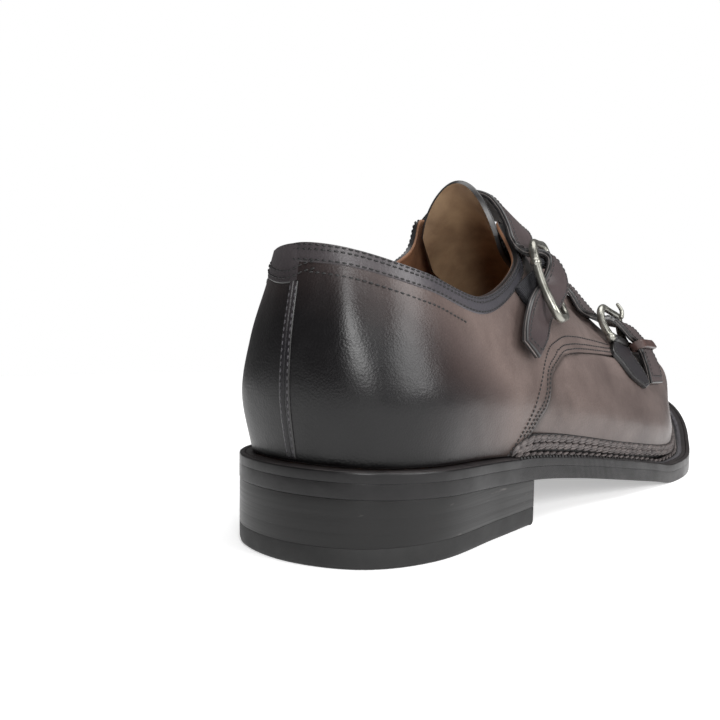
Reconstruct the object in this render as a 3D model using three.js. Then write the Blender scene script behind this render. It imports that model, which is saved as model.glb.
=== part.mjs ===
// Double monk strap shoe for the right foot, millimetres.
// The origin is on the floor under the middle of the heel: +X is the outer side, +Y the toe, +Z up.
import * as THREE from 'three';
import { mergeVertices } from 'three/addons/utils/BufferGeometryUtils.js';

// Driving dimensions
const LENGTH = 299.6; // heel to toe, along the sole
const BALL_WIDTH = 100.6; // across the sole at the ball
const BACK_HEIGHT = 90.2; // floor to the collar at the back
const HEEL_REACH = 35.3; // from the heel's middle to its back edge
const HEEL_LENGTH = 82.8; // back edge to breast
const WALL = 2.2; // upper leather with its lining
const WELT = 3.0;
const OUTSOLE = 4.5;
const INSOLE = 2.5;
const TOP_PIECE = 6.0;
const GAP = 0.3; // between curved neighbours
const RIM_STEP = 0.9; // how far the sole stands out past the heel block
const STRAP_THICKNESS = 2.4;
const TONGUE_THICKNESS = 2.0;
const TAB_THICKNESS = 1.6; // elastic tab, anchor tab and keeper loop
const WIRE = 2.8; // buckle frame
const HINGE_WIRE = 2.0;
const PRONG_WIRE = 2.0;
const CORNER_ROUND = 4.0;

// The tables are drawn for these sizes and scale with the driving dimensions.
const DRAWN = { length: 299.6, ballWidth: 100.6, backHeight: 90.2 };
const alongOf = (drawn) => (drawn * LENGTH) / DRAWN.length;
const acrossOf = (drawn) => (drawn * BALL_WIDTH) / DRAWN.ballWidth;
const upOf = (drawn) => (drawn * BACK_HEIGHT) / DRAWN.backHeight;

// Half outlines of the sole's upper edge at equal steps of the station, heel (0) to toe (1).
const SOLE_OUTLINE = [
  { station: 0.0, outer: 0.0, inner: 0.0 },
  { station: 0.1, outer: 23.2, inner: -23.2 },
  { station: 0.2, outer: 35.5, inner: -35.3 },
  { station: 0.3, outer: 37.3, inner: -35.6 },
  { station: 0.4, outer: 39.8, inner: -31.4 },
  { station: 0.5, outer: 49.0, inner: -36.0 },
  { station: 0.6, outer: 53.6, inner: -47.0 },
  { station: 0.7, outer: 43.0, inner: -44.0 },
  { station: 0.8, outer: 29.3, inner: -33.5 },
  { station: 0.9, outer: 13.6, inner: -21.5 },
  { station: 1.0, outer: -4.5, inner: -4.5 },
];

// Height of the outsole's underside: heel seat, waist, flat tread and toe spring.
const SOLE_PROFILE = [
  { along: -36.0, up: 20.0 },
  { along: 0.0, up: 18.2 },
  { along: 45.0, up: 15.2 },
  { along: 80.0, up: 10.8 },
  { along: 105.0, up: 6.9 },
  { along: 130.0, up: 2.7 },
  { along: 147.0, up: 0.0 },
  { along: 172.0, up: 0.0 },
  { along: 200.0, up: 2.6 },
  { along: 230.0, up: 7.9 },
  { along: 265.0, up: 16.0 },
];

// Each row is one line up the last, from the feather edge to the top line, on both sides.
// inset: sole edge to feather edge. swell, rise: widest point, out from and above the feather edge.
// lift: how much higher the inner side is.
const LAST_LINES = [
  {
    inset: 4.3, swell: 3.5, rise: 19,
    shoulder: { outer: 0, inner: 0, y: -33.7, z: 63, lift: 0 },
    instep: { outer: 0, inner: 0, y: -30.9, z: 78, lift: 0 },
    top: { outer: 0, inner: 0, y: -28.5, z: 90.2, lift: 0 },
  },
  {
    inset: 4.0, swell: 3.3, rise: 18,
    shoulder: { outer: 20.5, inner: -20.5, y: -26.2, z: 62.5, lift: 0 },
    instep: { outer: 17.2, inner: -17.2, y: -23.6, z: 77, lift: 0 },
    top: { outer: 14.3, inner: -14.3, y: -22, z: 88.4, lift: 0 },
  },
  {
    inset: 3.6, swell: 2.8, rise: 18,
    shoulder: { outer: 31.8, inner: -31.5, y: -5, z: 60, lift: 0 },
    instep: { outer: 28.8, inner: -28.6, y: -4.5, z: 73, lift: 0.5 },
    top: { outer: 26, inner: -26, y: -5, z: 82.6, lift: 1 },
  },
  {
    inset: 3.4, swell: 2.2, rise: 17,
    shoulder: { outer: 33.4, inner: -32.6, y: 27, z: 55, lift: 0 },
    instep: { outer: 31, inner: -30.6, y: 27, z: 66.5, lift: 1 },
    top: { outer: 28.4, inner: -28.4, y: 27, z: 75.6, lift: 2.5 },
  },
  {
    inset: 3.2, swell: 1.6, rise: 17,
    shoulder: { outer: 34.6, inner: -32, y: 68, z: 54, lift: 0 },
    instep: { outer: 26.8, inner: -31.2, y: 66, z: 73, lift: 2 },
    top: { outer: 20.5, inner: -27.5, y: 65.5, z: 88, lift: 3 },
  },
  {
    inset: 6.0, swell: 1.5, rise: 15,
    shoulder: { outer: 35.2, inner: -34, y: 105, z: 50, lift: 3 },
    instep: { outer: 20.8, inner: -32, y: 89, z: 79, lift: 4 },
    top: { outer: 10, inner: -26, y: 73, z: 103, lift: 1.5 },
  },
  {
    inset: 8.0, swell: 1.0, rise: 13,
    shoulder: { outer: 37.5, inner: -36, y: 150, z: 45, lift: 2 },
    instep: { outer: 19.5, inner: -29.5, y: 120, z: 68.5, lift: 6 },
    top: { outer: 11.2, inner: -23, y: 89, z: 95, lift: 3.5 },
  },
  {
    inset: 9.0, swell: -0.2, rise: 12,
    shoulder: { outer: 33.5, inner: -34, y: 191.5, z: 42, lift: 0.5 },
    instep: { outer: 19.5, inner: -26, y: 150, z: 61, lift: 1 },
    top: { outer: 12.4, inner: -22, y: 103, z: 88, lift: 3.5 },
  },
  {
    inset: 9.6, swell: -0.8, rise: 12,
    shoulder: { outer: 22, inner: -26, y: 212, z: 43.5, lift: 0 },
    instep: { outer: 13, inner: -21, y: 160, z: 62.5, lift: 0.5 },
    top: { outer: 11.5, inner: -20, y: 113, z: 82.5, lift: 4.5 },
  },
  {
    inset: 10.0, swell: -1.4, rise: 12,
    shoulder: { outer: 8, inner: -14.5, y: 226, z: 45, lift: 0 },
    instep: { outer: 5.5, inner: -13, y: 168, z: 63, lift: 0 },
    top: { outer: 5, inner: -14, y: 120, z: 82.5, lift: 2 },
  },
  {
    inset: 10.0, swell: -1.6, rise: 12,
    shoulder: { outer: -3.5, inner: -3.5, y: 231, z: 45.5, lift: 0 },
    instep: { outer: -4, inner: -4, y: 172, z: 63.2, lift: 0 },
    top: { outer: -5, inner: -5, y: 123, z: 84.5, lift: 0 },
  },
];

// Rows down the tongue's face, from its free top to its sewn foot under the vamp.
const TONGUE_ROWS = [
  { x: -6.5, y: 69, z: 117.3, half: 15.9, back: 0, drop: 17 },
  { x: -6.3, y: 76, z: 110.0, half: 16.5, back: 1, drop: 19.5 },
  { x: -6, y: 86, z: 102.4, half: 18.5, back: 3, drop: 18.5 },
  { x: -5.5, y: 97, z: 96, half: 18.5, back: 2, drop: 17 },
  { x: -5, y: 108, z: 89, half: 18, back: 1, drop: 15 },
  { x: -4.5, y: 118, z: 81.5, half: 17, back: 0, drop: 13 },
  { x: -4, y: 128, z: 75, half: 16, back: 0, drop: 11 },
  { x: -4, y: 138, z: 69.5, half: 15, back: 0, drop: 9.5 },
];

// Both edges of each strap, from its sewn inner end over the instep to its free end.
const UPPER_STRAP = [
  { near: [-35.2, 74, 68], far: [-36.2, 94, 66] },
  { near: [-33.9, 76, 84], far: [-35.4, 95, 80] },
  { near: [-30, 77.5, 99.5], far: [-30.5, 96.5, 93] },
  { near: [-19, 78, 111], far: [-19, 98, 104] },
  { near: [-8, 78, 114.6], far: [-7, 98.5, 105.8] },
  { near: [1, 77.5, 113], far: [2, 98.5, 103.2] },
  { near: [7, 75.5, 108.4], far: [8, 97, 99.8] },
  { near: [13.2, 71.5, 101.2], far: [12.3, 93, 97.2] },
  { near: [17.6, 66.7, 95.9], far: [14.5, 89, 93.1] },
  { near: [19.7, 66.5, 93.2], far: [15.9, 83.4, 91.5] },
  { near: [22, 69.9, 91.1], far: [18.7, 83.4, 90.2] },
  { near: [26, 72, 91.2], far: [22.3, 85.8, 90.2] },
  { near: [29, 72.6, 89.7], far: [25, 87, 88.6] },
  { near: [30.4, 71, 87.2], far: [27, 88, 86] },
  { near: [30.3, 69.3, 84], far: [28.9, 88.6, 82] },
  { near: [29.1, 67.2, 79.8], far: [29.8, 87.4, 77.4] },
  { near: [30.2, 61.8, 78.2], far: [30.3, 81, 72.2] },
  { near: [32.2, 53.6, 74.3], far: [31.2, 71, 66.4] },
  { near: [35, 44.1, 66.3], far: [35.6, 59, 60.8] },
  { near: [36.9, 40.2, 61.3], far: [37.4, 49, 55.4] },
];
const LOWER_STRAP = [
  { near: [-37.2, 118, 52], far: [-38.8, 138, 48] },
  { near: [-36, 117, 69], far: [-36.5, 137, 62] },
  { near: [-29, 116.5, 83], far: [-29, 137, 74.5] },
  { near: [-17, 117, 91.5], far: [-17, 137.5, 82.5] },
  { near: [-5, 118, 92.5], far: [-4, 138.5, 83.5] },
  { near: [4, 119, 89.5], far: [4.5, 139.5, 81.5] },
  { near: [12, 119.3, 83.3], far: [9.5, 139.5, 78.5] },
  { near: [17.8, 119.4, 76.9], far: [13.2, 140, 74.4] },
  { near: [20.8, 122.8, 70.4], far: [16.2, 145, 69.2] },
  { near: [22.4, 129.5, 67.7], far: [17.2, 149.5, 66.4] },
  { near: [24, 136.2, 66.7], far: [19.5, 153, 64.4] },
  { near: [26.8, 138.2, 66.8], far: [23.5, 154.6, 63.4] },
  { near: [29.3, 139.2, 65.7], far: [27, 154.2, 63.2] },
  { near: [31.5, 141.8, 62.8], far: [29.9, 158.8, 61.3] },
  { near: [33.5, 145.9, 58.9], far: [31.3, 163.5, 58.2] },
  { near: [34.6, 150.5, 56.2], far: [32.8, 167.5, 55] },
  { near: [36, 152.6, 52.8], far: [34.4, 170.2, 51.5] },
  { near: [39.3, 150, 47.3], far: [37.8, 170, 45] },
  { near: [42.3, 147.3, 39.8], far: [41.3, 164.5, 38.7] },
];

// Buckle frames: one end of the near side bar, the side bar, and the way across to the far one.
// hinge: how far down the side bars the hinge bar sits; at 1 it closes the frame itself.
const BUCKLES = {
  upper: {
    corner: [25.8, 66, 94.3],
    side: [12.5, -3, -26.4],
    across: [-0.38, 0.925, 0],
    width: 23,
    hinge: 0.27,
  },
  lower: {
    corner: [25.2, 133.2, 71.8],
    side: [6, -2.9, -12.5],
    across: [-0.05, 0.97, -0.2],
    width: 25,
    hinge: 1,
  },
};
const PRONG = [[28.6, 148.5, 67], [28.4, 149, 69.5], [27, 147.9, 72.2]];

// Tabs that tie the hinge bars to the outer quarter.
const ELASTIC = [
  { near: [27, 52.8, 78.2], far: [29, 58, 72.4] },
  { near: [25.8, 60.2, 81], far: [27.3, 66, 76.2] },
  { near: [25.7, 65.5, 83.2], far: [25.8, 73, 80.6] },
  { near: [27, 68.6, 85.2], far: [24.4, 76, 85] },
];
const ANCHOR = [
  { near: [31.3, 132, 57.2], far: [31.7, 148.4, 53.8] },
  { near: [34.1, 125.5, 53.4], far: [34.8, 147, 50.3] },
  { near: [37.2, 128, 48.8], far: [38.9, 146, 45.6] },
  { near: [40.1, 131.6, 43.6], far: [41.3, 145.5, 41.7] },
  { near: [42.7, 140.3, 38.5], far: [42.2, 145.2, 39.6] },
];

// The keeper loop's place along the lower strap, from start (0) to free end (1).
const KEEPER = { from: 0.828, to: 0.88 };

const ROUND_STEPS = 60; // stations round the upper
const RISE_STEPS = 10; // steps from feather edge to top line
const SOLE_STEPS = 30;

// Collects triangles and leaves out the ones that shrink to a line.
class Soup {
  constructor() {
    this.positions = [];
  }

  triangle(a, b, c) {
    const close = (p, q) => p.distanceToSquared(q) < 1e-8;
    if (close(a, b) || close(b, c) || close(c, a)) return;
    this.positions.push(...a.toArray(), ...b.toArray(), ...c.toArray());
  }

  quad(a, b, c, d) {
    this.triangle(a, b, c);
    this.triangle(a, c, d);
  }

  geometry() {
    const geometry = new THREE.BufferGeometry();
    geometry.setAttribute('position', new THREE.Float32BufferAttribute(this.positions, 3));
    const merged = mergeVertices(geometry, 1e-4);
    merged.computeVertexNormals();
    return merged;
  }
}

// A closed solid between two grids of points of the same size; over lies on the outside of under.
function solidBetween(over, under, wraps = false) {
  const soup = new Soup();
  const rows = over.length;
  const last = over[0].length - 1;
  const steps = wraps ? rows : rows - 1;
  for (let i = 0; i < steps; i += 1) {
    const next = (i + 1) % rows;
    for (let j = 0; j < last; j += 1) {
      soup.quad(over[i][j], over[next][j], over[next][j + 1], over[i][j + 1]);
      soup.quad(under[i][j + 1], under[next][j + 1], under[next][j], under[i][j]);
    }
    soup.quad(under[i][0], under[next][0], over[next][0], over[i][0]);
    soup.quad(over[i][last], over[next][last], under[next][last], under[i][last]);
  }
  if (!wraps) {
    for (let j = 0; j < last; j += 1) {
      soup.quad(over[0][j], over[0][j + 1], under[0][j + 1], under[0][j]);
      soup.quad(under[rows - 1][j], under[rows - 1][j + 1], over[rows - 1][j + 1], over[rows - 1][j]);
    }
  }
  return soup.geometry();
}

// Smooth value of one column of a table that never overshoots its rows.
function tableValue(rows, key, column, at) {
  const last = rows.length - 1;
  const place = THREE.MathUtils.clamp(at, rows[0][key], rows[last][key]);
  let i = rows.findIndex((row) => row[key] >= place);
  i = Math.max(i, 1);
  const slope = (k) => (rows[k][column] - rows[k - 1][column]) / (rows[k][key] - rows[k - 1][key]);
  const tangent = (k) => {
    if (k === 0) return slope(1);
    if (k === last) return slope(last);
    const before = slope(k);
    const after = slope(k + 1);
    return before * after <= 0 ? 0 : (2 * before * after) / (before + after);
  };
  const span = rows[i][key] - rows[i - 1][key];
  const t = (place - rows[i - 1][key]) / span;
  const near = (1 + 2 * t) * (1 - t) ** 2 * rows[i - 1][column];
  const far = t * t * (3 - 2 * t) * rows[i][column];
  const lift = t * (1 - t) ** 2 * span * tangent(i - 1);
  const fall = t * t * (t - 1) * span * tangent(i);
  return near + far + lift + fall;
}

const treadHeight = (y) => upOf(tableValue(SOLE_PROFILE, 'along', 'up', (y * DRAWN.length) / LENGTH));
const weltTop = (y) => treadHeight(y) + OUTSOLE + GAP + WELT;

// Stations crowd together at both round ends.
const stationAlong = (station) => LENGTH * (1 - Math.cos(Math.PI * station)) / 2 - HEEL_REACH;

// Closed line round the sole's edge, one control point for each station and side.
const SOLE_EDGE = closedLine((row, side) => {
  const x = acrossOf(SOLE_OUTLINE[row][side]);
  return new THREE.Vector3(x, stationAlong(SOLE_OUTLINE[row].station), 0);
});

// Control points run from the back up the outer side, round the toe and back down the inner side.
function closedLine(pointOf) {
  const rows = SOLE_OUTLINE.length;
  const points = [];
  for (let i = 0; i < rows; i += 1) points.push(pointOf(i, 'outer'));
  for (let i = rows - 2; i > 0; i -= 1) points.push(pointOf(i, 'inner'));
  return new THREE.CatmullRomCurve3(points, true, 'catmullrom', 0.5);
}

const turnOf = (row, side) => {
  const half = row / (2 * (SOLE_OUTLINE.length - 1));
  return side === 'outer' ? half : (1 - half) % 1;
};

// Outward direction of the sole's edge, level with the floor.
function edgeOutward(turn) {
  const along = SOLE_EDGE.getTangent(turn);
  return new THREE.Vector3(along.y, -along.x, 0).normalize();
}

function edgePoint(turn, inset = 0) {
  return SOLE_EDGE.getPoint(turn).addScaledVector(edgeOutward(turn), -inset);
}

const lineOf = (name) => closedLine((row, side) => {
  const point = LAST_LINES[row][name];
  const lift = side === 'inner' ? point.lift : 0;
  return new THREE.Vector3(acrossOf(point[side]), alongOf(point.y), upOf(point.z + lift));
});

const FEATHER = closedLine((row, side) => {
  const point = edgePoint(turnOf(row, side), LAST_LINES[row].inset);
  return point.setZ(weltTop(point.y) + GAP);
});
const GIRTH = closedLine((row, side) => {
  const line = LAST_LINES[row];
  const point = edgePoint(turnOf(row, side), line.inset - line.swell);
  return point.setZ(weltTop(point.y) + GAP + line.rise);
});
const LAST_CURVES = [FEATHER, GIRTH, lineOf('shoulder'), lineOf('instep'), lineOf('top')];

// The upper's outer face: turn goes round the foot, rise from the feather edge (0) to the top line (1).
function upperPoint(turn, rise) {
  const line = new THREE.CatmullRomCurve3(LAST_CURVES.map((curve) => curve.getPoint(turn)));
  const point = line.getPoint(rise);
  return point.setZ(Math.max(point.z, line.points[0].z));
}

function upperNormal(turn, rise) {
  const step = 0.004;
  const low = Math.max(rise - step, 0);
  const high = Math.min(rise + step, 1);
  const round = upperPoint((turn + step) % 1, rise).sub(upperPoint((turn + 1 - step) % 1, rise));
  const upward = upperPoint(turn, high).sub(upperPoint(turn, low));
  return round.cross(upward).normalize();
}

// A grid of points on or off the upper's face.
function upperGrid(offset) {
  const grid = [];
  for (let i = 0; i < ROUND_STEPS; i += 1) {
    const turn = i / ROUND_STEPS;
    const floor = upperPoint(turn, 0).z;
    const row = [];
    for (let j = 0; j <= RISE_STEPS; j += 1) {
      const rise = j / RISE_STEPS;
      const point = upperPoint(turn, rise).addScaledVector(upperNormal(turn, rise), offset);
      if (j === 0) point.z = floor;
      row.push(point.setZ(Math.max(point.z, floor)));
    }
    grid.push(row);
  }
  return grid;
}

function upperGeometry() {
  return solidBetween(upperGrid(0), upperGrid(-WALL), true);
}

// Grid across the sole, from the outer edge to the inner, at a height given for each place along.
function soleGrid(heightOf, inset) {
  const grid = [];
  for (let i = 0; i <= SOLE_STEPS; i += 1) {
    const half = i / (2 * SOLE_STEPS);
    const outer = edgePoint(half, inset);
    const inner = edgePoint((1 - half) % 1, inset);
    grid.push([outer.setZ(heightOf(outer.y)), inner.setZ(heightOf(inner.y))]);
  }
  return grid;
}

function plate(topOf, bottomOf, inset = 0) {
  return solidBetween(soleGrid(topOf, inset), soleGrid(bottomOf, inset));
}

// The insole lies inside the upper's wall, from side to side at each station.
function insoleGeometry() {
  const inset = WALL + 3 * GAP;
  const grid = (lift) => {
    const rows = [];
    for (let i = 0; i <= SOLE_STEPS; i += 1) {
      const half = i / (2 * SOLE_STEPS);
      rows.push([half, (1 - half) % 1].map((turn) => {
        const point = FEATHER.getPoint(turn).addScaledVector(edgeOutward(turn), -inset);
        return point.setZ(weltTop(point.y) + GAP + lift);
      }));
    }
    return rows;
  };
  return solidBetween(grid(INSOLE), grid(0));
}

// The turn at which the sole's outer edge passes a place along the foot.
function turnAt(y) {
  let low = 0;
  let high = 0.4;
  for (let step = 0; step < 40; step += 1) {
    const middle = (low + high) / 2;
    if (edgePoint(middle, RIM_STEP).y < y) low = middle;
    else high = middle;
  }
  return low;
}

// A slab of the heel block, from the back edge to the breast.
function heelSlab(bottomOf, topOf) {
  const steps = 16;
  const breast = turnAt(HEEL_LENGTH - HEEL_REACH);
  const grid = (heightOf) => {
    const rows = [];
    for (let i = 0; i <= steps; i += 1) {
      const half = (i / steps) * breast;
      const outer = edgePoint(half, RIM_STEP);
      const inner = edgePoint((1 - half) % 1, RIM_STEP);
      rows.push([outer.setZ(heightOf(outer.y)), inner.setZ(heightOf(inner.y))]);
    }
    return rows;
  };
  return solidBetween(grid(topOf), grid(bottomOf));
}

function tongueGeometry() {
  const columns = 12;
  const curve = (pick) => new THREE.CatmullRomCurve3(TONGUE_ROWS.map(pick));
  const middle = curve((row) => new THREE.Vector3(acrossOf(row.x), alongOf(row.y), upOf(row.z)));
  const wing = curve((row) => new THREE.Vector3(row.half, row.back, row.drop));
  const steps = 16;
  const rows = [];
  for (let i = steps; i >= 0; i -= 1) {
    const centre = middle.getPoint(i / steps);
    const reach = wing.getPoint(i / steps);
    const row = [];
    for (let j = 0; j <= columns; j += 1) {
      const across = 1 - (2 * j) / columns;
      const x = centre.x + across * reach.x;
      row.push(new THREE.Vector3(x, centre.y - across ** 2 * reach.y, centre.z - across ** 2 * reach.z));
    }
    rows.push(row);
  }
  rows.reverse();
  return sheet(rows.map((row) => row.reverse()), TONGUE_THICKNESS);
}

// Gives a grid of points, taken as the middle of the material, its thickness.
function sheet(grid, thickness) {
  const at = (i, j) => grid[THREE.MathUtils.clamp(i, 0, grid.length - 1)][
    THREE.MathUtils.clamp(j, 0, grid[0].length - 1)];
  const side = (sign) => grid.map((row, i) => row.map((point, j) => {
    const down = at(i + 1, j).clone().sub(at(i - 1, j));
    const across = at(i, j + 1).clone().sub(at(i, j - 1));
    return point.clone().addScaledVector(down.cross(across).normalize(), (sign * thickness) / 2);
  }));
  return solidBetween(side(1), side(-1));
}

const placed = ([x, y, z]) => new THREE.Vector3(acrossOf(x), alongOf(y), upOf(z));

// The two edges of a strap or tab as curves.
function edgesOf(rows) {
  const edge = (name) => new THREE.CatmullRomCurve3(rows.map((row) => placed(row[name])));
  return { near: edge('near'), far: edge('far') };
}

function ribbon(rows, steps, thickness) {
  const { near, far } = edgesOf(rows);
  const grid = [];
  for (let i = 0; i <= steps; i += 1) {
    const a = near.getPoint(i / steps);
    const b = far.getPoint(i / steps);
    grid.push([a, a.clone().lerp(b, 0.5), b]);
  }
  return sheet(grid, thickness);
}

// A band round the lower strap: two flat runs joined by round ends.
function keeperGeometry() {
  const { near, far } = edgesOf(LOWER_STRAP);
  const bendSteps = 6;
  const ring = (at, radius) => {
    const a = near.getPoint(at);
    const b = far.getPoint(at);
    const across = b.clone().sub(a).normalize();
    const out = near.getTangent(at).cross(across).normalize();
    const points = [];
    [[b, 0], [a, Math.PI]].forEach(([centre, start]) => {
      for (let k = 0; k <= bendSteps; k += 1) {
        const angle = start + Math.PI / 2 - (Math.PI * k) / bendSteps;
        const point = centre.clone().addScaledVector(across, radius * Math.cos(angle));
        points.push(point.addScaledVector(out, radius * Math.sin(angle)));
      }
    });
    return points;
  };
  const grid = (radius) => {
    const start = ring(KEEPER.from, radius);
    const end = ring(KEEPER.to, radius);
    return start.map((point, i) => [end[i], point]);
  };
  const inner = STRAP_THICKNESS / 2 + 2 * GAP;
  return solidBetween(grid(inner + TAB_THICKNESS), grid(inner), true);
}

// Rings of points swept along a path, open with flat ends or closed on itself.
function tube(points, radii, closed = false) {
  const sides = 8;
  const soup = new Soup();
  const count = points.length;
  const rings = [];
  let axis = new THREE.Vector3(0.3, 0.2, 0.9);
  for (let i = 0; i < count; i += 1) {
    const before = points[closed ? (i + count - 1) % count : Math.max(i - 1, 0)];
    const after = points[closed ? (i + 1) % count : Math.min(i + 1, count - 1)];
    const along = after.clone().sub(before).normalize();
    const u = axis.clone().addScaledVector(along, -axis.dot(along)).normalize();
    const v = along.clone().cross(u);
    axis = u;
    const ring = [];
    for (let k = 0; k < sides; k += 1) {
      const angle = (2 * Math.PI * k) / sides;
      const point = points[i].clone().addScaledVector(u, radii[i] * Math.cos(angle));
      ring.push(point.addScaledVector(v, radii[i] * Math.sin(angle)));
    }
    rings.push(ring);
  }
  const links = closed ? count : count - 1;
  for (let i = 0; i < links; i += 1) {
    const next = rings[(i + 1) % count];
    for (let k = 0; k < sides; k += 1) {
      const turned = (k + 1) % sides;
      soup.quad(rings[i][k], rings[i][turned], next[turned], next[k]);
    }
  }
  if (!closed) {
    for (let k = 0; k < sides; k += 1) {
      const turned = (k + 1) % sides;
      soup.triangle(points[0], rings[0][turned], rings[0][k]);
      soup.triangle(points[count - 1], rings[count - 1][k], rings[count - 1][turned]);
    }
  }
  return soup.geometry();
}

// Corners of a buckle frame, in order round it.
function frameCorners(buckle) {
  const corner = placed(buckle.corner);
  const side = placed(buckle.side);
  const across = placed(buckle.across).setLength(buckle.width);
  return [
    corner,
    corner.clone().add(side),
    corner.clone().add(side).add(across),
    corner.clone().add(across),
  ];
}

function cornerBend(before, corner, after) {
  const start = before.clone().sub(corner).setLength(CORNER_ROUND).add(corner);
  const end = after.clone().sub(corner).setLength(CORNER_ROUND).add(corner);
  return new THREE.QuadraticBezierCurve3(start, corner, end).getPoints(4);
}

const wire = (points, width, closed) => tube(points, points.map(() => width / 2), closed);

// A wire with rounded corners: a full rectangle, or three sides that end at the hinge bar.
function frameGeometry(buckle) {
  const corners = frameCorners(buckle);
  const bend = (i) => cornerBend(corners[(i + 3) % 4], corners[i], corners[(i + 1) % 4]);
  if (buckle.hinge < 1) return wire([0, 1, 2, 3].flatMap(bend), WIRE, true);
  const shorten = (end, start) => {
    const reach = end.distanceTo(start) - HINGE_WIRE / 2 - GAP;
    return end.clone().sub(start).setLength(reach).add(start);
  };
  const near = shorten(corners[1], corners[0]);
  const far = shorten(corners[2], corners[3]);
  return wire([far, ...bend(3), ...bend(0), near], WIRE, false);
}

function hingeGeometry(buckle) {
  const corners = frameCorners(buckle);
  const near = corners[0].clone().lerp(corners[1], buckle.hinge);
  const far = corners[3].clone().lerp(corners[2], buckle.hinge);
  const reach = buckle.hinge < 1 ? -WIRE / 2 - 2 * GAP : HINGE_WIRE / 2;
  const along = far.clone().sub(near).setLength(reach);
  return wire([near.sub(along), far.add(along)], HINGE_WIRE, false);
}

function prongGeometry() {
  const steps = 8;
  const points = new THREE.CatmullRomCurve3(PRONG.map(placed)).getPoints(steps);
  return tube(points, points.map((point, i) => PRONG_WIRE / 2 - (0.3 * i) / steps));
}

const finish = (color, roughness, metalness = 0) =>
  new THREE.MeshStandardMaterial({ color, roughness, metalness });
const FINISH = {
  rubber: finish(0x141314, 0.8),
  edge: finish(0x1b1918, 0.45),
  insole: finish(0xa9764c, 0.6),
  upper: finish(0x5b5051, 0.4),
  strap: finish(0x4a4142, 0.4),
  elastic: finish(0x151517, 0.85),
  keeper: finish(0x4b2e26, 0.5),
  metal: finish(0x9d9b95, 0.35, 1),
};

const shoe = new THREE.Group();

function addPiece(name, geometry, material) {
  const mesh = new THREE.Mesh(geometry, material);
  mesh.name = name;
  shoe.add(mesh);
}

addPiece('top_piece', heelSlab(() => 0, () => TOP_PIECE), FINISH.rubber);
addPiece('heel_stack', heelSlab(() => TOP_PIECE + GAP, (y) => treadHeight(y) - GAP), FINISH.edge);
addPiece('outsole', plate((y) => treadHeight(y) + OUTSOLE, treadHeight), FINISH.edge);
addPiece('welt', plate(weltTop, (y) => weltTop(y) - WELT), FINISH.edge);
addPiece('insole', insoleGeometry(), FINISH.insole);
addPiece('upper', upperGeometry(), FINISH.upper);
addPiece('tongue', tongueGeometry(), FINISH.upper);
addPiece('upper_strap', ribbon(UPPER_STRAP, 57, STRAP_THICKNESS), FINISH.strap);
addPiece('lower_strap', ribbon(LOWER_STRAP, 54, STRAP_THICKNESS), FINISH.strap);
addPiece('elastic_tab', ribbon(ELASTIC, 9, TAB_THICKNESS), FINISH.elastic);
addPiece('anchor_tab', ribbon(ANCHOR, 12, TAB_THICKNESS), FINISH.strap);
addPiece('keeper_loop', keeperGeometry(), FINISH.keeper);
Object.entries(BUCKLES).forEach(([name, buckle]) => {
  addPiece(`${name}_buckle`, frameGeometry(buckle), FINISH.metal);
  addPiece(`${name}_hinge_bar`, hingeGeometry(buckle), FINISH.metal);
});
addPiece('lower_prong', prongGeometry(), FINISH.metal);

export default shoe;
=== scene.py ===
import logging
import math
from collections.abc import Callable, Sequence
from dataclasses import dataclass, field
from enum import Enum

import bmesh
import bpy
import numpy as np
from mathutils import Matrix, Vector

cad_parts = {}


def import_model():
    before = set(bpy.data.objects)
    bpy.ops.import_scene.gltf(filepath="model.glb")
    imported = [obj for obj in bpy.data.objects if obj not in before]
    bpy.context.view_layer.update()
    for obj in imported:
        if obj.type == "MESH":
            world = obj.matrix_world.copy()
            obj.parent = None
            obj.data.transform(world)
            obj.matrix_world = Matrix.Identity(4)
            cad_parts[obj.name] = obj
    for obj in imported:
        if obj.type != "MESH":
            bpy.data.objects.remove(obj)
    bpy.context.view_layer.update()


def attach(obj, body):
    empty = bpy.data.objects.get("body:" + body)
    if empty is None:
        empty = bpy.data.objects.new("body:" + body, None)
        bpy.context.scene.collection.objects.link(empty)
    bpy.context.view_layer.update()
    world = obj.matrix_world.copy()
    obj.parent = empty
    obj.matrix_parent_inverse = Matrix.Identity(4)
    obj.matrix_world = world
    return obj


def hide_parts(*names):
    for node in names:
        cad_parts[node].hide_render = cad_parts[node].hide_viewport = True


LOG = logging.getLogger("monk_shoe")
MM = 0.001
Array = np.ndarray
Mesh = bmesh.types.BMesh
Socket = bpy.types.NodeSocket
Height = Callable[[Array], Array]

# Driving sizes in millimetres.
LENGTH = 299.6
HEEL_REACH = 35.3
HEEL_LENGTH = 82.8
WALL = 2.2
WELT = 3.0
OUTSOLE = 4.5
INSOLE = 2.5
TOP_PIECE = 6.0
GAP = 0.3
LAYER_GAP = 0.06
TOP_GAP = 0.08
HEEL_INSET = 0.12

# The distance within which points are merged, in metres.
WELD = 2e-6
# The angle past which an edge stays crisp, in degrees.
CRISP = 48
# Rough millimetres of a whole turn round the shoe, and of the rise from foot to top line.
SEAM_SCALE = (700, 75)


# ---------------------------------------------------------------- curves


def columns_of(rows: Sequence[Sequence[float]]) -> Array:
    """Returns rows of numbers as one array."""
    return np.array(rows, float)


def smooth(share: Array) -> Array:
    """Returns shares from 0 to 1 with a soft start and end."""
    return share * share * (3 - 2 * share)


def both_ways(turn: Array) -> Array:
    """Returns turns counted both ways from the middle of the heel."""
    return np.mod(turn + 0.5, 1.0) - 0.5


def raised(base: Height, distance: float) -> Height:
    """Returns a height along the foot, moved up by a distance."""
    return lambda y: base(y) + distance


def level(height: float) -> Height:
    """Returns a height that is the same all along the foot."""
    return lambda y: np.full(len(y), height)


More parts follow.
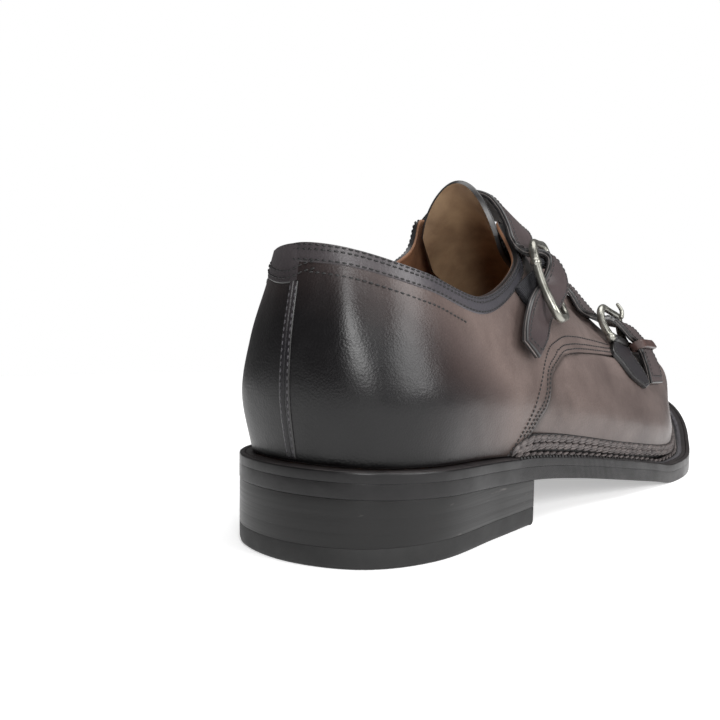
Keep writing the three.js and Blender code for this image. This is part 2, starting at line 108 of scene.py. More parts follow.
def eased(table: Array, at: Array) -> Array:
    """Reads a table of two columns along a smooth line that never overshoots.

    Args:
        table: Rows of place and value, places rising.
        at: The places to read.

    Returns:
        The values there.
    """
    place, value = table[:, 0], table[:, 1]
    at = np.clip(at, place[0], place[-1])
    after = np.clip(np.searchsorted(place, at), 1, len(place) - 1)
    slope = np.diff(value) / np.diff(place)
    before_slope, after_slope = slope[:-1], slope[1:]
    product = before_slope * after_slope
    both = np.where(product > 0, before_slope + after_slope, 1)
    mean = np.where(product > 0, 2 * product / both, 0)
    tangent = np.concatenate([slope[:1], mean, slope[-1:]])
    span = place[after] - place[after - 1]
    t = (at - place[after - 1]) / span
    rise = smooth(t)
    pull = t * (1 - t) * span * ((1 - t) * tangent[after - 1] - t * tangent[after])
    return value[after - 1] * (1 - rise) + value[after] * rise + pull


def hermite(start: Array, end: Array, leave: Array, arrive: Array, t: Array) -> Array:
    """Returns points between two ends with given tangents, at fractions t."""
    t = t[..., None]
    bend = (-3 * start + 3 * end - 2 * leave - arrive) * t**2
    return start + leave * t + bend + (2 * start - 2 * end + leave + arrive) * t**3


def looped(points: Array, turns: Array) -> Array:
    """Reads a smooth closed line through points.

    Args:
        points: The points it passes.
        turns: Fractions of a whole turn.

    Returns:
        One point for each turn.
    """
    count = len(points)
    place = np.mod(turns, 1.0) * count
    knot = np.floor(place).astype(int)
    a, b, c, d = (points[(knot + step) % count] for step in (-1, 0, 1, 2))
    return hermite(b, c, 0.5 * (c - a), 0.5 * (d - b), place - knot)


def threaded(points: Array, at: Array) -> Array:
    """Reads smooth open lines, one for each place that is asked.

    Args:
        points: Lines by knots by three, or one line for them all.
        at: The fraction along each line.

    Returns:
        One point for each fraction.
    """
    if points.ndim == 2:
        points = np.broadcast_to(points, (len(at), *points.shape))
    first = 2 * points[:, :1] - points[:, 1:2]
    last = 2 * points[:, -1:] - points[:, -2:-1]
    rows = np.concatenate([first, points, last], axis=1)
    place = np.clip(at, 0, 1) * (points.shape[1] - 1)
    knot = np.minimum(place.astype(int), points.shape[1] - 2)
    index = np.arange(len(at))
    a, b, c, d = (rows[index, knot + step] for step in range(4))

    def gap(start: Array, end: Array) -> Array:
        """Returns the root of the distance between points."""
        return np.maximum(np.linalg.norm(end - start, axis=1), 1e-12)[:, None] ** 0.5

    before, here, after = gap(a, b), gap(b, c), gap(c, d)
    leave = ((b - a) / before - (c - a) / (before + here) + (c - b) / here) * here
    arrive = ((c - b) / here - (d - b) / (here + after) + (d - c) / after) * here
    return hermite(b, c, leave, arrive, place - knot)


def unit(vectors: Array) -> Array:
    """Returns the vectors at length one."""
    return vectors / np.maximum(np.linalg.norm(vectors, axis=-1, keepdims=True), 1e-12)


@dataclass(frozen=True)
class Trail:
    """A line on a surface: its points, the way it runs and the way out of the surface."""

    points: Array
    ways: Array
    normals: Array

    @classmethod
    def evenly(cls, points: Array, normals: Array, pitch: float) -> "Trail":
        """Spaces a dense line out evenly.

        Args:
            points: The dense line.
            normals: The surface's outward direction at each point.
            pitch: The wanted distance between points.

        Returns:
            The trail.
        """
        steps = np.linalg.norm(np.diff(points, axis=0), axis=1)
        reach = np.concatenate([[0.0], np.cumsum(steps)])
        count = max(int(reach[-1] / pitch), 2)
        at = (np.arange(count) + 0.5) * reach[-1] / count
        spots = np.stack([np.interp(at, reach, points[:, k]) for k in range(3)], axis=1)
        outs = unit(np.stack([np.interp(at, reach, normals[:, k]) for k in range(3)], axis=1))
        return cls(spots, unit(np.gradient(spots, axis=0)), outs)


# ---------------------------------------------------------------- the last


@dataclass(frozen=True)
class Last:
    """The form that the shoe is built on: the sole's outline, its profile and the skin above it."""

    outline: Array = field(default_factory=lambda: columns_of([
        (0.0, 0, 0), (0.1, 23.2, -23.2), (0.2, 35.5, -35.3), (0.3, 37.3, -35.6),
        (0.4, 39.8, -31.4), (0.5, 49, -36), (0.6, 53.6, -47), (0.7, 43, -44),
        (0.8, 29.3, -33.5), (0.9, 13.6, -21.5), (1.0, -4.5, -4.5)]))
    profile: Array = field(default_factory=lambda: columns_of([
        (-36, 20), (0, 18.2), (45, 15.2), (80, 10.8), (105, 6.9), (130, 2.7),
        (147, 0), (172, 0), (200, 2.6), (230, 7.9), (265, 16)]))
    # inset and swell of the feather edge, and the rise of the widest line above it
    foot: Array = field(default_factory=lambda: columns_of([
        (4.3, 3.5, 19), (4.0, 3.3, 18), (3.6, 2.8, 18), (3.4, 2.2, 17), (3.2, 1.6, 17),
        (6.0, 1.5, 15), (8.0, 1.0, 13), (9.0, -0.2, 12), (9.6, -0.8, 12),
        (10, -1.4, 12), (10, -1.6, 12)]))
    # outer x, inner x, y, z and the inner side's lift, from heel to toe
    shoulder: Array = field(default_factory=lambda: columns_of([
        (0, 0, -33.7, 63, 0), (20.5, -20.5, -26.2, 62.5, 0), (31.8, -31.5, -5, 60, 0),
        (33.4, -32.6, 27, 55, 0), (34.6, -32, 68, 54, 0), (35.2, -34, 105, 50, 3),
        (37.5, -36, 150, 45, 2), (33.5, -34, 191.5, 42, 0.5), (22, -26, 212, 43.5, 0),
        (8, -14.5, 226, 45, 0), (-3.5, -3.5, 231, 45.5, 0)]))
    instep: Array = field(default_factory=lambda: columns_of([
        (0, 0, -30.9, 78, 0), (17.2, -17.2, -23.6, 77, 0), (28.8, -28.6, -4.5, 73, 0.5),
        (31, -30.6, 27, 66.5, 1), (26.8, -31.2, 66, 73, 2), (20.8, -32, 89, 79, 4),
        (19.5, -29.5, 120, 68.5, 6), (19.5, -26, 150, 61, 1), (13, -21, 160, 62.5, 0.5),
        (5.5, -13, 168, 63, 0), (-4, -4, 172, 63.2, 0)]))
    top: Array = field(default_factory=lambda: columns_of([
        (0, 0, -28.5, 90.2, 0), (14.3, -14.3, -22, 88.4, 0), (26, -26, -5, 82.6, 1),
        (28.4, -28.4, 27, 75.6, 2.5), (20.5, -27.5, 65.5, 88, 3), (10, -26, 73, 103, 1.5),
        (11.2, -23, 89, 95, 3.5), (12.4, -22, 103, 88, 3.5), (11.5, -20, 113, 82.5, 4.5),
        (5, -14, 120, 82.5, 2), (-5, -5, 123, 84.5, 0)]))

    def __post_init__(self) -> None:
        """Works out the closed lines once."""
        sides = self.around(lambda row, side: (
            self.outline[row, 1 + side],
            LENGTH * (1 - math.cos(math.pi * self.outline[row, 0])) / 2 - HEEL_REACH, 0))
        object.__setattr__(self, "rim", sides)
        lines = [self.feather_line(0), self.feather_line(1)]
        for table in (self.shoulder, self.instep, self.top):
            lines.append(self.around(lambda row, side, t=table: (
                t[row, side], t[row, 2], t[row, 3] + side * t[row, 4])))
        object.__setattr__(self, "lines", lines)

    def around(self, point: Callable[[int, int], tuple]) -> Array:
        """Gathers a closed line's knots, up the outer side and back down the inner.

        Args:
            point: Gives the knot of a row and a side, 0 outer and 1 inner.

        Returns:
            The knots.
        """
        last = len(self.outline) - 1
        outer = [point(row, 0) for row in range(last + 1)]
        return columns_of(outer + [point(row, 1) for row in range(last - 1, 0, -1)])

    def feather_line(self, level: int) -> Array:
        """Returns the knots of the feather edge (level 0) or of the widest line above it.

        Args:
            level: 0 for the feather edge, 1 for the line above it.

        Returns:
            The knots.
        """
        last = 2 * (len(self.outline) - 1)

        def knot(row: int, side: int) -> tuple:
            """Returns one knot.

            Args:
                row: The row of the outline's table.
                side: 0 outer, 1 inner.

            Returns:
                Its x, y and z.
            """
            inset, swell, rise = self.foot[row]
            turn = np.array([(row if side == 0 else -row) / last])
            spot = self.edge(turn, inset - level * swell)[0]
            return spot[0], spot[1], self.welt_top(spot[1:2])[0] + GAP + level * rise

        return self.around(knot)

    def edge_out(self, turn: Array) -> Array:
        """Returns the way out of the sole's outline, level with the floor."""
        way = unit(looped(self.rim, turn + 1e-4) - looped(self.rim, turn - 1e-4))
        return np.stack([way[:, 1], -way[:, 0], np.zeros(len(way))], axis=1)

    def edge(self, turn: Array, inset: Array | float = 0.0) -> Array:
        """Returns points on the outline, set in by a distance."""
        inset = np.broadcast_to(np.asarray(inset, float), turn.shape)
        return looped(self.rim, turn) - self.edge_out(turn) * inset[:, None]

    def tread(self, y: Array) -> Array:
        """Returns the height of the sole's underside."""
        return eased(self.profile, y)

    def welt_top(self, y: Array) -> Array:
        """Returns the height of the welt's top face."""
        return self.tread(y) + OUTSOLE + GAP + WELT

    def bare(self, turn: Array, rise: Array) -> Array:
        """Returns points of the outer skin at turns round and rises from foot to top line.

        Args:
            turn: Turns round the shoe.
            rise: Rises from foot to top line.

        Returns:
            The points.
        """
        knots = np.stack([looped(line, turn) for line in self.lines], axis=1)
        spots = threaded(knots, rise)
        spots[:, 2] = np.maximum(spots[:, 2], knots[:, 0, 2])
        return spots

    def normal(self, turn: Array, rise: Array) -> Array:
        """Returns the skin's outward directions.

        Args:
            turn: Turns round the shoe.
            rise: Rises from foot to top line.

        Returns:
            One direction for each place.
        """
        step = 2e-3
        sideways = self.bare(turn + step, rise) - self.bare(turn - step, rise)
        high, low = np.minimum(rise + step, 1), np.maximum(rise - step, 0)
        return unit(np.cross(sideways, self.bare(turn, high) - self.bare(turn, low)))

    def skin(self, turn: Array, rise: Array, lift: Array | float = 0.0) -> Array:
        """Returns points held off the outer skin by a lift along its normal."""
        lift = np.broadcast_to(np.asarray(lift, float), turn.shape)
        return self.bare(turn, rise) + self.normal(turn, rise) * lift[:, None]

    def below_top(self, turn: Array, depth: Array | float) -> Array:
        """Finds the rise that lies a distance below the top line.

        Args:
            turn: Turns round the shoe.
            depth: The distance down the skin.

        Returns:
            The rises.
        """
        depth = np.broadcast_to(np.asarray(depth, float), turn.shape)
        rises = np.linspace(1.0, 0.3, 36)
        turns, levels = np.repeat(turn, len(rises)), np.tile(rises, len(turn))
        spots = self.bare(turns, levels).reshape(len(turn), len(rises), 3)
        steps = np.linalg.norm(np.diff(spots, axis=1), axis=2)
        reach = np.concatenate([np.zeros((len(turn), 1)), np.cumsum(steps, axis=1)], axis=1)
        return np.array([np.interp(d, r, rises) for d, r in zip(depth, reach)])

    def trail(self, path: Array, pitch: float, lift: float = 0.0, shift: float = 0.0) -> Trail:
        """Lays a dense line on the skin.

        Args:
            path: Dense rows of turn and rise.
            pitch: The distance between its points.
            lift: How far it stands off the skin.
            shift: How far it lies to the left of the path.

        Returns:
            The trail.
        """
        turn, rise = path[:, 0], path[:, 1]
        if shift:
            turn, rise = self.shifted(turn, rise, shift)
        return Trail.evenly(self.skin(turn, rise, lift), self.normal(turn, rise), pitch)

    def shifted(self, turn: Array, rise: Array, shift: float) -> tuple[Array, Array]:
        """Moves a dense line sideways on the skin.

        Args:
            turn: Its turns.
            rise: Its rises.
            shift: How far it moves to its left.

        Returns:
            The new turns and rises.
        """
        step = 1e-3
        spots, outs = self.bare(turn, rise), self.normal(turn, rise)
        aside = np.cross(outs, unit(np.gradient(spots, axis=0))) * shift
        across = (self.bare(turn + step, rise) - self.bare(turn - step, rise)) / (2 * step)
        upward = (self.bare(turn, rise + step) - self.bare(turn, rise - step)) / (2 * step)
        aa, uu = (across * across).sum(1), (upward * upward).sum(1)
        au = (across * upward).sum(1)
        sa, su = (aside * across).sum(1), (aside * upward).sum(1)
        spread = aa * uu - au * au
        new_rise = np.clip(rise + (su * aa - sa * au) / spread, 0, 1)
        return turn + (sa * uu - su * au) / spread, new_rise


def drawn(path: Sequence[tuple[float, float]], count: int = 400) -> Array:
    """Smooths a seam drawn in turn and rise.

    Args:
        path: Rows of turn and rise.
        count: How many points to return.

    Returns:
        Dense rows of turn and rise.
    """
    wide, tall = SEAM_SCALE
    spots = columns_of([(turn * wide, rise * tall, 0) for turn, rise in path])
    dense = threaded(spots, np.linspace(0, 1, count))
    return dense[:, :2] / SEAM_SCALE


# ---------------------------------------------------------------- finishes


def tone(code: str) -> tuple[float, float, float, float]:
    """Returns the linear colour of a six-digit hex code."""
    parts = [int(code[k:k + 2], 16) / 255 for k in (0, 2, 4)]
    linear = [p / 12.92 if p <= 0.04045 else ((p + 0.055) / 1.055) ** 2.4 for p in parts]
    return (*linear, 1.0)


class Recipe:
    """The node tree of one finish."""

    def __init__(self, name: str) -> None:
        """Starts a material with a principled shader.

        Args:
            name: The material's name.
        """
        self.material = bpy.data.materials.new(name)
        self.material.use_nodes = True
        self.nodes = self.material.node_tree.nodes
        self.links = self.material.node_tree.links
        self.shader = self.nodes["Principled BSDF"]
        source = self.nodes.new("ShaderNodeTexCoord")
        self.place = source.outputs["Object"]
        self.laid = source.outputs["UV"]

    def feed(self, socket: Socket, value: object) -> None:
        """Links a socket, or sets it where the value is plain.

        Args:
            socket: The input.
            value: A socket or a plain value.
        """
        if isinstance(value, Socket):
            self.links.new(value, socket)
        else:
            socket.default_value = value

    def stretched(self, scale: tuple[float, float, float]) -> Socket:
        """Returns the piece's coordinates scaled along each axis.

        Args:
            scale: The scale along each axis.

        Returns:
            The socket that gives it.
        """
        node = self.nodes.new("ShaderNodeMapping")
        self.feed(node.inputs["Vector"], self.place)
        node.inputs["Scale"].default_value = scale
        return node.outputs["Vector"]

    def axis(self, name: str) -> Socket:
        """Returns one axis of the piece's coordinates."""
        node = self.nodes.new("ShaderNodeSeparateXYZ")
        self.feed(node.inputs[0], self.place)
        return node.outputs[name]

    def noise(self, scale: float, detail: float = 3.0, rough: float = 0.55,
              source: Socket | None = None) -> Socket:
        """Returns soft noise from 0 to 1.

        Args:
            scale: How many patches to a metre.
            detail: How many finer layers it has.
            rough: How strong the finer layers are.
            source: Its coordinates, the piece's own where none are given.

        Returns:
            The socket that gives it.
        """
        node = self.nodes.new("ShaderNodeTexNoise")
        self.feed(node.inputs["Vector"], source or self.place)
        node.inputs["Scale"].default_value = scale
        node.inputs["Detail"].default_value = detail
        node.inputs["Roughness"].default_value = rough
        return node.outputs["Fac"]

    def cells(self, scale: float) -> Socket:
        """Returns the distance from the middle of small irregular cells.

        Args:
            scale: How many cells to a metre.

        Returns:
            The socket that gives it.
        """
        node = self.nodes.new("ShaderNodeTexVoronoi")
        self.feed(node.inputs["Vector"], self.place)
        node.inputs["Scale"].default_value = scale
        return node.outputs["Distance"]

    def ribs(self, scale: float, waver: float) -> Socket:
        """Returns even bands along the piece's laid-out map.

        Args:
            scale: How close the bands lie.
            waver: How far they waver.

        Returns:
            The socket that gives it.
        """
        node = self.nodes.new("ShaderNodeTexWave")
        node.bands_direction = "X"
        self.feed(node.inputs["Vector"], self.laid)
        node.inputs["Scale"].default_value = scale
        node.inputs["Distortion"].default_value = waver
        node.inputs["Detail Scale"].default_value = 2.0
        return node.outputs["Fac"]

    def remap(self, value: Socket, low: float, high: float,
              to_low: float = 0.0, to_high: float = 1.0) -> Socket:
        """Returns a value moved from one range into another.

        Args:
            value: The value.
            low: The start of its range.
            high: The end of its range.
            to_low: The start of the new range.
            to_high: The end of the new range.

        Returns:
            The socket that gives it.
        """
        node = self.nodes.new("ShaderNodeMapRange")
        self.feed(node.inputs["Value"], value)
        ends = {"From Min": low, "From Max": high, "To Min": to_low, "To Max": to_high}
        for name, number in ends.items():
            node.inputs[name].default_value = number
        return node.outputs["Result"]

    def reckon(self, kind: str, first: object, second: object) -> Socket:
        """Returns two values put together: ADD, MULTIPLY, SUBTRACT, MAXIMUM or MINIMUM.

        Args:
            kind: The operation's name.
            first: The first value.
            second: The second value.

        Returns:
            The socket that gives it.
        """
        node = self.nodes.new("ShaderNodeMath")
        node.operation = kind
        self.feed(node.inputs[0], first)
        self.feed(node.inputs[1], second)
        return node.outputs[0]

    def worn(self, name: str) -> Socket:
        """Returns a number that the mesh carries at its points."""
        node = self.nodes.new("ShaderNodeAttribute")
        node.attribute_name = name
        return node.outputs["Fac"]

    def ramp(self, value: Socket, stops: Sequence[tuple[float, str]]) -> Socket:
        """Returns a colour read from stops.

        Args:
            value: Where to read, from 0 to 1.
            stops: Places and hex codes.

        Returns:
            The socket that gives it.
        """
        node = self.nodes.new("ShaderNodeValToRGB")
        self.feed(node.inputs["Fac"], value)
        elements = node.color_ramp.elements
        while len(elements) < len(stops):
            elements.new(0.5)
        for element, (place, code) in zip(elements, stops):
            element.position = place
            element.color = tone(code)
        return node.outputs["Color"]

    def grey(self, value: Socket) -> Socket:
        """Returns a value as an even grey.

        Args:
            value: The value.

        Returns:
            The socket that gives it.
        """
        node = self.nodes.new("ShaderNodeCombineColor")
        for socket in node.inputs:
            self.feed(socket, value)
        return node.outputs[0]

    def mixed(self, amount: object, first: object, second: object, kind: str = "MIX") -> Socket:
        """Returns a mix of two colours.

        Args:
            amount: The second colour's share.
            first: The first colour.
            second: The second colour.
            kind: How they are blended.

        Returns:
            The socket that gives it.
        """
        node = self.nodes.new("ShaderNodeMix")
        node.data_type = "RGBA"
        node.blend_type = kind
        self.feed(node.inputs[0], amount)
        self.feed(node.inputs[6], first)
        self.feed(node.inputs[7], second)
        return node.outputs[2]

    def bump(self, height: Socket, strength: float, depth: float,
             under: Socket | None = None) -> Socket:
        """Returns a normal with a relief laid over another.

        Args:
            height: The relief.
            strength: How strongly it shows, from 0 to 1.
            depth: Its depth in millimetres.
            under: The normal beneath it.

        Returns:
            The socket that gives it.
        """
        node = self.nodes.new("ShaderNodeBump")
        node.inputs["Strength"].default_value = strength
        node.inputs["Distance"].default_value = depth * MM
        self.feed(node.inputs["Height"], height)
        if under:
            self.feed(node.inputs["Normal"], under)
        return node.outputs["Normal"]

    def finish(self, **values: object) -> bpy.types.Material:
        """Sets the shader's sockets, spaces written as underscores, and returns the material."""
        for name, value in values.items():
            self.feed(self.shader.inputs[name.replace("_", " ")], value)
        return self.material


@dataclass(frozen=True)
class PatinaLeather:
    """Calf polished by hand, dark at the heel and lighter towards the vamp."""

    stops: tuple[tuple[float, str], ...]
    gloss: float = 0.36
    coat: float = 0.11
    mottle: float = 0.48
    # How much of the colour is left at the foot under the painted shade.
    low: float = 0.62

    def run(self, r: Recipe) -> Socket:
        """Returns the place on the way from heel to vamp, further on above the ankle's bend, so
        higher leather is lighter: partly its own tone and partly painted light from above.

        Args:
            r: The node tree.

        Returns:
            The socket that gives it.
        """
        # Lighter above the ankle's bend: partly the leather's own lighter tone and partly painted
        # light from above.
        climb = r.reckon("MAXIMUM", r.reckon("SUBTRACT", r.axis("Z"), 0.045), 0.0)
        drift = r.reckon("MULTIPLY", r.reckon("SUBTRACT", r.noise(24, 5, 0.6), 0.5), 0.04)
        run = r.reckon("ADD", r.reckon("ADD", r.axis("Y"), climb), drift)
        return r.remap(run, -0.04, 0.16)

    def shade(self, r: Recipe) -> Socket:
        """Returns painted shade: darker towards the foot, and darker where the mesh carries its
        darkening: painted shade beside seams and at the foot, and darker edges.

        Args:
            r: The node tree.

        Returns:
            The socket that gives it.
        """
        # Painted shade: darker towards the foot, down to self.low of the colour.
        foot = r.reckon("ADD", r.axis("Z"), r.reckon("MULTIPLY", r.noise(60, 3), 0.012))
        low = r.remap(foot, 0.024, 0.058, self.low, 1.0)
        # The mesh's darkening: painted shade beside the quarters' edge and at the foot, and darker
        # front edges of the quarters.
        after_shade_and_edge_tone = r.reckon("SUBTRACT", 1.0, r.reckon("MULTIPLY", r.worn("burnish"), 0.85))
        return r.grey(r.reckon("MULTIPLY", low, after_shade_and_edge_tone))

    def make(self, name: str) -> bpy.types.Material:
        """Builds the material under a name.

        Args:
            name: The material's name.

        Returns:
            The material.
        """
        r = Recipe(name)
        tint = r.ramp(self.run(r), self.stops)
        cloud = r.reckon("MULTIPLY", r.remap(r.noise(48, 5, 0.62), 0.3, 0.7), self.mottle)
        tint = r.mixed(cloud, tint, tone("4a2f31"), "MULTIPLY")
        tint = r.mixed(1.0, tint, self.shade(r), "MULTIPLY")
        speck = r.grey(r.remap(r.noise(1500, 2, 0.6), 0.25, 0.8, 0.80, 1.18))
        tint = r.mixed(0.75, tint, speck, "MULTIPLY")
        rough = r.remap(r.noise(60, 4), 0.3, 0.7, self.gloss - 0.06, self.gloss + 0.08)
        grain = r.bump(r.cells(1500), 0.30, 0.14)
        pull = r.bump(r.noise(420, 5, 0.65), 0.20, 0.20, grain)
        waves = r.bump(r.noise(46, 3), 0.45, 0.9, pull)
        return r.finish(Base_Color=tint, Roughness=rough, Normal=waves, Coat_Weight=self.coat,
                        Coat_Roughness=0.24, Specular_IOR_Level=0.34)


@dataclass(frozen=True)
class PlainHide:
    """One-coloured leather, paint, thread or rubber with its own fine surface."""

    dark: str
    light: str
    rough: float = 0.5
    scale: float = 300.0
    relief: float = 0.2
    grain: float = 900.0
    sheen: float = 0.0
    coat: float = 0.0

    def make(self, name: str) -> bpy.types.Material:
        """Builds the material under a name.

        Args:
            name: The material's name.

        Returns:
            The material.
        """
        r = Recipe(name)
        cloud = r.noise(self.scale, 5, 0.6)
        tint = r.ramp(cloud, ((0.3, self.dark), (0.7, self.light)))
        blotch = r.noise(self.scale * 0.4, 3)
        rough = r.remap(blotch, 0.3, 0.7, self.rough - 0.07, self.rough + 0.07)
        relief = r.bump(r.noise(self.grain, 4, 0.65), self.relief, 0.15)
        return r.finish(Base_Color=tint, Roughness=rough, Normal=relief, Sheen_Weight=self.sheen,
                        Coat_Weight=self.coat, Coat_Roughness=0.3)


@dataclass(frozen=True)
class RibbedHide:
    """A surface ribbed across its own run, by the piece's laid-out map."""

    dark: str
    light: str
    ribs: float
    rough: float = 0.5
    depth: float = 0.3
    waist: tuple[float, float] | None = None

    def make(self, name: str) -> bpy.types.Material:
        """Builds the material under a name.

        Args:
            name: The material's name.

        Returns:
            The material.
        """
        r = Recipe(name)
        rib = r.ribs(self.ribs, 0.6)
        if self.waist:
            start, end = self.waist
            inside = r.reckon("MINIMUM", r.remap(r.axis("Y"), start - 0.01, start),
                              r.remap(r.axis("Y"), end, end + 0.03, 1.0, 0.0))
            rib = r.reckon("MULTIPLY", rib, inside)
        fore = r.remap(r.axis("Y"), 0.12, 0.24)
        base = r.mixed(fore, tone(self.dark), tone("2b2220"))
        cloud = r.reckon("MULTIPLY", r.noise(160, 5, 0.65), 0.8)
        shade = r.remap(r.reckon("ADD", cloud, r.reckon("MULTIPLY", rib, 0.2)), 0.25, 0.75)
        tint = r.mixed(shade, base, tone(self.light))
        fine = r.bump(r.noise(700, 3), 0.25, 0.12)
        relief = r.bump(rib, 0.6, self.depth, fine)
        rough = r.remap(r.noise(120, 4), 0.3, 0.7, self.rough - 0.08, self.rough + 0.1)
        return r.finish(Base_Color=tint, Roughness=rough, Normal=relief,
                        Coat_Weight=0.05, Coat_Roughness=0.3, Specular_IOR_Level=0.35)


@dataclass(frozen=True)
class StackedLeather:
    """Heel lifts pressed together, stained dark and burnished, with a few scuffs."""

    dark: str
    light: str

    def make(self, name: str) -> bpy.types.Material:
        """Builds the material under a name.

        Args:
            name: The material's name.

        Returns:
            The material.
        """
        r = Recipe(name)
        lines = r.noise(1.0, 4, 0.7, r.stretched((16, 16, 2400)))
        tint = r.ramp(lines, ((0.3, self.dark), (0.62, self.dark), (0.8, self.light)))
        scuff = r.noise(1.0, 3, 0.6, r.stretched((60, 60, 420)))
        tint = r.mixed(r.remap(scuff, 0.66, 0.76, 0.0, 0.5), tint, tone("6a6562"))
        rough = r.remap(lines, 0.3, 0.75, 0.30, 0.48)
        relief = r.bump(lines, 0.12, 0.12)
        return r.finish(Base_Color=tint, Roughness=rough, Normal=relief,
                        Coat_Weight=0.08, Coat_Roughness=0.28, Specular_IOR_Level=0.35)


@dataclass(frozen=True)
class AntiqueNickel:
    """Buckle metal with a satin brushed surface, darker where it is seldom rubbed."""

    dark: str
    light: str

    def make(self, name: str) -> bpy.types.Material:
        """Builds the material under a name.

        Args:
            name: The material's name.

        Returns:
            The material.
        """
        r = Recipe(name)
        worn = r.noise(150, 4, 0.6)
        tint = r.ramp(worn, ((0.30, self.dark), (0.62, self.light)))
        rough = r.remap(r.noise(300, 4), 0.3, 0.7, 0.26, 0.38)
        brushed = r.noise(1.0, 3, 0.6, r.stretched((2600, 500, 900)))
        relief = r.bump(brushed, 0.03, 0.01)
        return r.finish(Base_Color=tint, Metallic=0.92, Roughness=rough, Normal=relief)


class Finish(Enum):
    """Every finish on the shoe, named for its material."""

    PATINA = "patina_leather"
    BAND = "collar_leather"
    STRAP = "strap_leather"
    TAB = "tab_leather"
    EDGE = "edge_dressing"
    RAW_EDGE = "burnished_edge"
    FLESH = "flesh_side"
    LINING = "lining_leather"
    TONGUE_LINING = "tongue_lining"
    SOCK = "sock_leather"
    THREAD = "waxed_thread"
    PALE_THREAD = "pale_thread"
    BRAID = "braid_thread"
    WELT = "welt_leather"
    SOLE_EDGE = "sole_edge"
    TREAD = "sole_tread"
    STACK = "stacked_leather"
    RUBBER = "heel_rubber"
    ELASTIC = "elastic_web"
    KEEPER = "keeper_leather"
    NICKEL = "antique_nickel"


RECIPES = {
    Finish.PATINA: PatinaLeather((
        (0.0, "080709"), (0.15, "0e0c0e"), (0.195, "1b1617"), (0.25, "352c2b"), (0.31, "564a47"),
        (0.38, "6e605b"), (1.0, "736662"))),
    Finish.BAND: PatinaLeather((
        (0.0, "0e0d0f"), (0.09, "18161a"), (0.20, "2f2b2d"), (0.30, "4a4547"), (0.42, "47454a"),
        (0.60, "3a393e"), (1.0, "3a393e")), mottle=0.15, low=0.9),
    Finish.STRAP: PatinaLeather((
        (0.0, "2a2526"), (0.45, "352e2f"), (0.6, "4c4243"), (1.0, "544a4a")), mottle=0.3, low=0.85),
    Finish.TAB: PatinaLeather((
        (0.0, "1a191b"), (0.5, "262427"), (1.0, "2d2b2e")), mottle=0.2, low=1.0),
    Finish.EDGE: PlainHide("0d0c0d", "1a1818", 0.38, coat=0.3),
    Finish.RAW_EDGE: PlainHide("6b6462", "8f8581", 0.5),
    Finish.FLESH: PlainHide("3b2b24", "57412f", 0.7, sheen=0.2),
    Finish.LINING: PlainHide("6e4a36", "8c6549", 0.6, 120.0),
    Finish.TONGUE_LINING: PlainHide("7a614a", "a3886a", 0.6, 90.0),
    Finish.SOCK: PlainHide("9a6a45", "b5835a", 0.55, 90.0),
    Finish.THREAD: PlainHide("080808", "141213", 0.5, 900.0),
    Finish.PALE_THREAD: PlainHide("2a282b", "4a474c", 0.5, 900.0),
    Finish.BRAID: PlainHide("353030", "645c5a", 0.45, 420.0, 0.5, 2600.0),
    Finish.WELT: PlainHide("151213", "302b2b", 0.45, 220.0),
    Finish.SOLE_EDGE: RibbedHide("080708", "171516", 380.0, 0.36, 0.25, (0.045, 0.11)),
    Finish.TREAD: PlainHide("17110f", "2b211c", 0.55, 60.0),
    Finish.STACK: StackedLeather("070606", "161413"),
    Finish.RUBBER: PlainHide("090909", "131212", 0.62, 200.0, 0.3, 600.0),
    Finish.ELASTIC: RibbedHide("0e0e10", "2c2c31", 5.0, 0.7, 0.8),
    Finish.KEEPER: PlainHide("33231f", "4d3733", 0.42, 160.0, coat=0.2),
    Finish.NICKEL: AntiqueNickel("696860", "a3a29a"),
}


class Palette:
    """The materials, each made once."""

    def __init__(self) -> None:
        """Starts with none made."""
        self.made: dict[Finish, bpy.types.Material] = {}

    def of(self, finish: Finish) -> bpy.types.Material:
        """Returns the material of a finish."""
        if finish not in self.made:
            self.made[finish] = RECIPES[finish].make(finish.value)
        return self.made[finish]


# ---------------------------------------------------------------- mesh work


def woven(columns: int, rows: int, place: Callable[[Array, Array], Array],
          paint: Callable[[Array, Array], Array] | None = None,
          burnish: Callable[[Array, Array], Array] | None = None) -> Mesh:
    """Lays a grid over a shape and merges the borders that meet.

    Args:
        columns: Cells one way.
        rows: Cells the other way.
        place: Gives the points, in millimetres, of arrays of column and row numbers.
        paint: Gives the material number of arrays of cell numbers.
        burnish: Gives how much darker the leather is, painted shade and darker edges, from 0 to 1.

    Returns:
        The mesh.
    """
    mesh = bmesh.new()
    laid = mesh.loops.layers.uv.new("UVMap")
    # The darkening at each point: painted shade beside seams and at the foot, and darker edges.
    shade = mesh.verts.layers.float.new("burnish")
    bmesh.ops.create_grid(mesh, x_segments=columns, y_segments=rows, size=1.0, calc_uvs=True)
    flat = columns_of([vert.co[:2] for vert in mesh.verts])
    low = flat.min(axis=0)
    cell = np.rint((flat - low) / (flat.max(axis=0) - low) * (columns, rows)).astype(int)
    for vert, spot in zip(mesh.verts, place(cell[:, 0], cell[:, 1]) * MM):
        vert.co = spot
    if burnish:
        for vert, share in zip(mesh.verts, burnish(cell[:, 0], cell[:, 1])):
            vert[shade] = share
    if paint:
        middle = columns_of([
            sum((loop[laid].uv for loop in face.loops), Vector((0, 0))) / len(face.loops)
            for face in mesh.faces])
        across = np.clip((middle[:, 0] * columns).astype(int), 0, columns - 1)
        along = np.clip((middle[:, 1] * rows).astype(int), 0, rows - 1)
        for face, number in zip(mesh.faces, paint(across, along)):
            face.material_index = int(number)
    bmesh.ops.remove_doubles(mesh, verts=mesh.verts, dist=WELD)
    bmesh.ops.dissolve_degenerate(mesh, dist=1e-7, edges=mesh.edges)
    return mesh


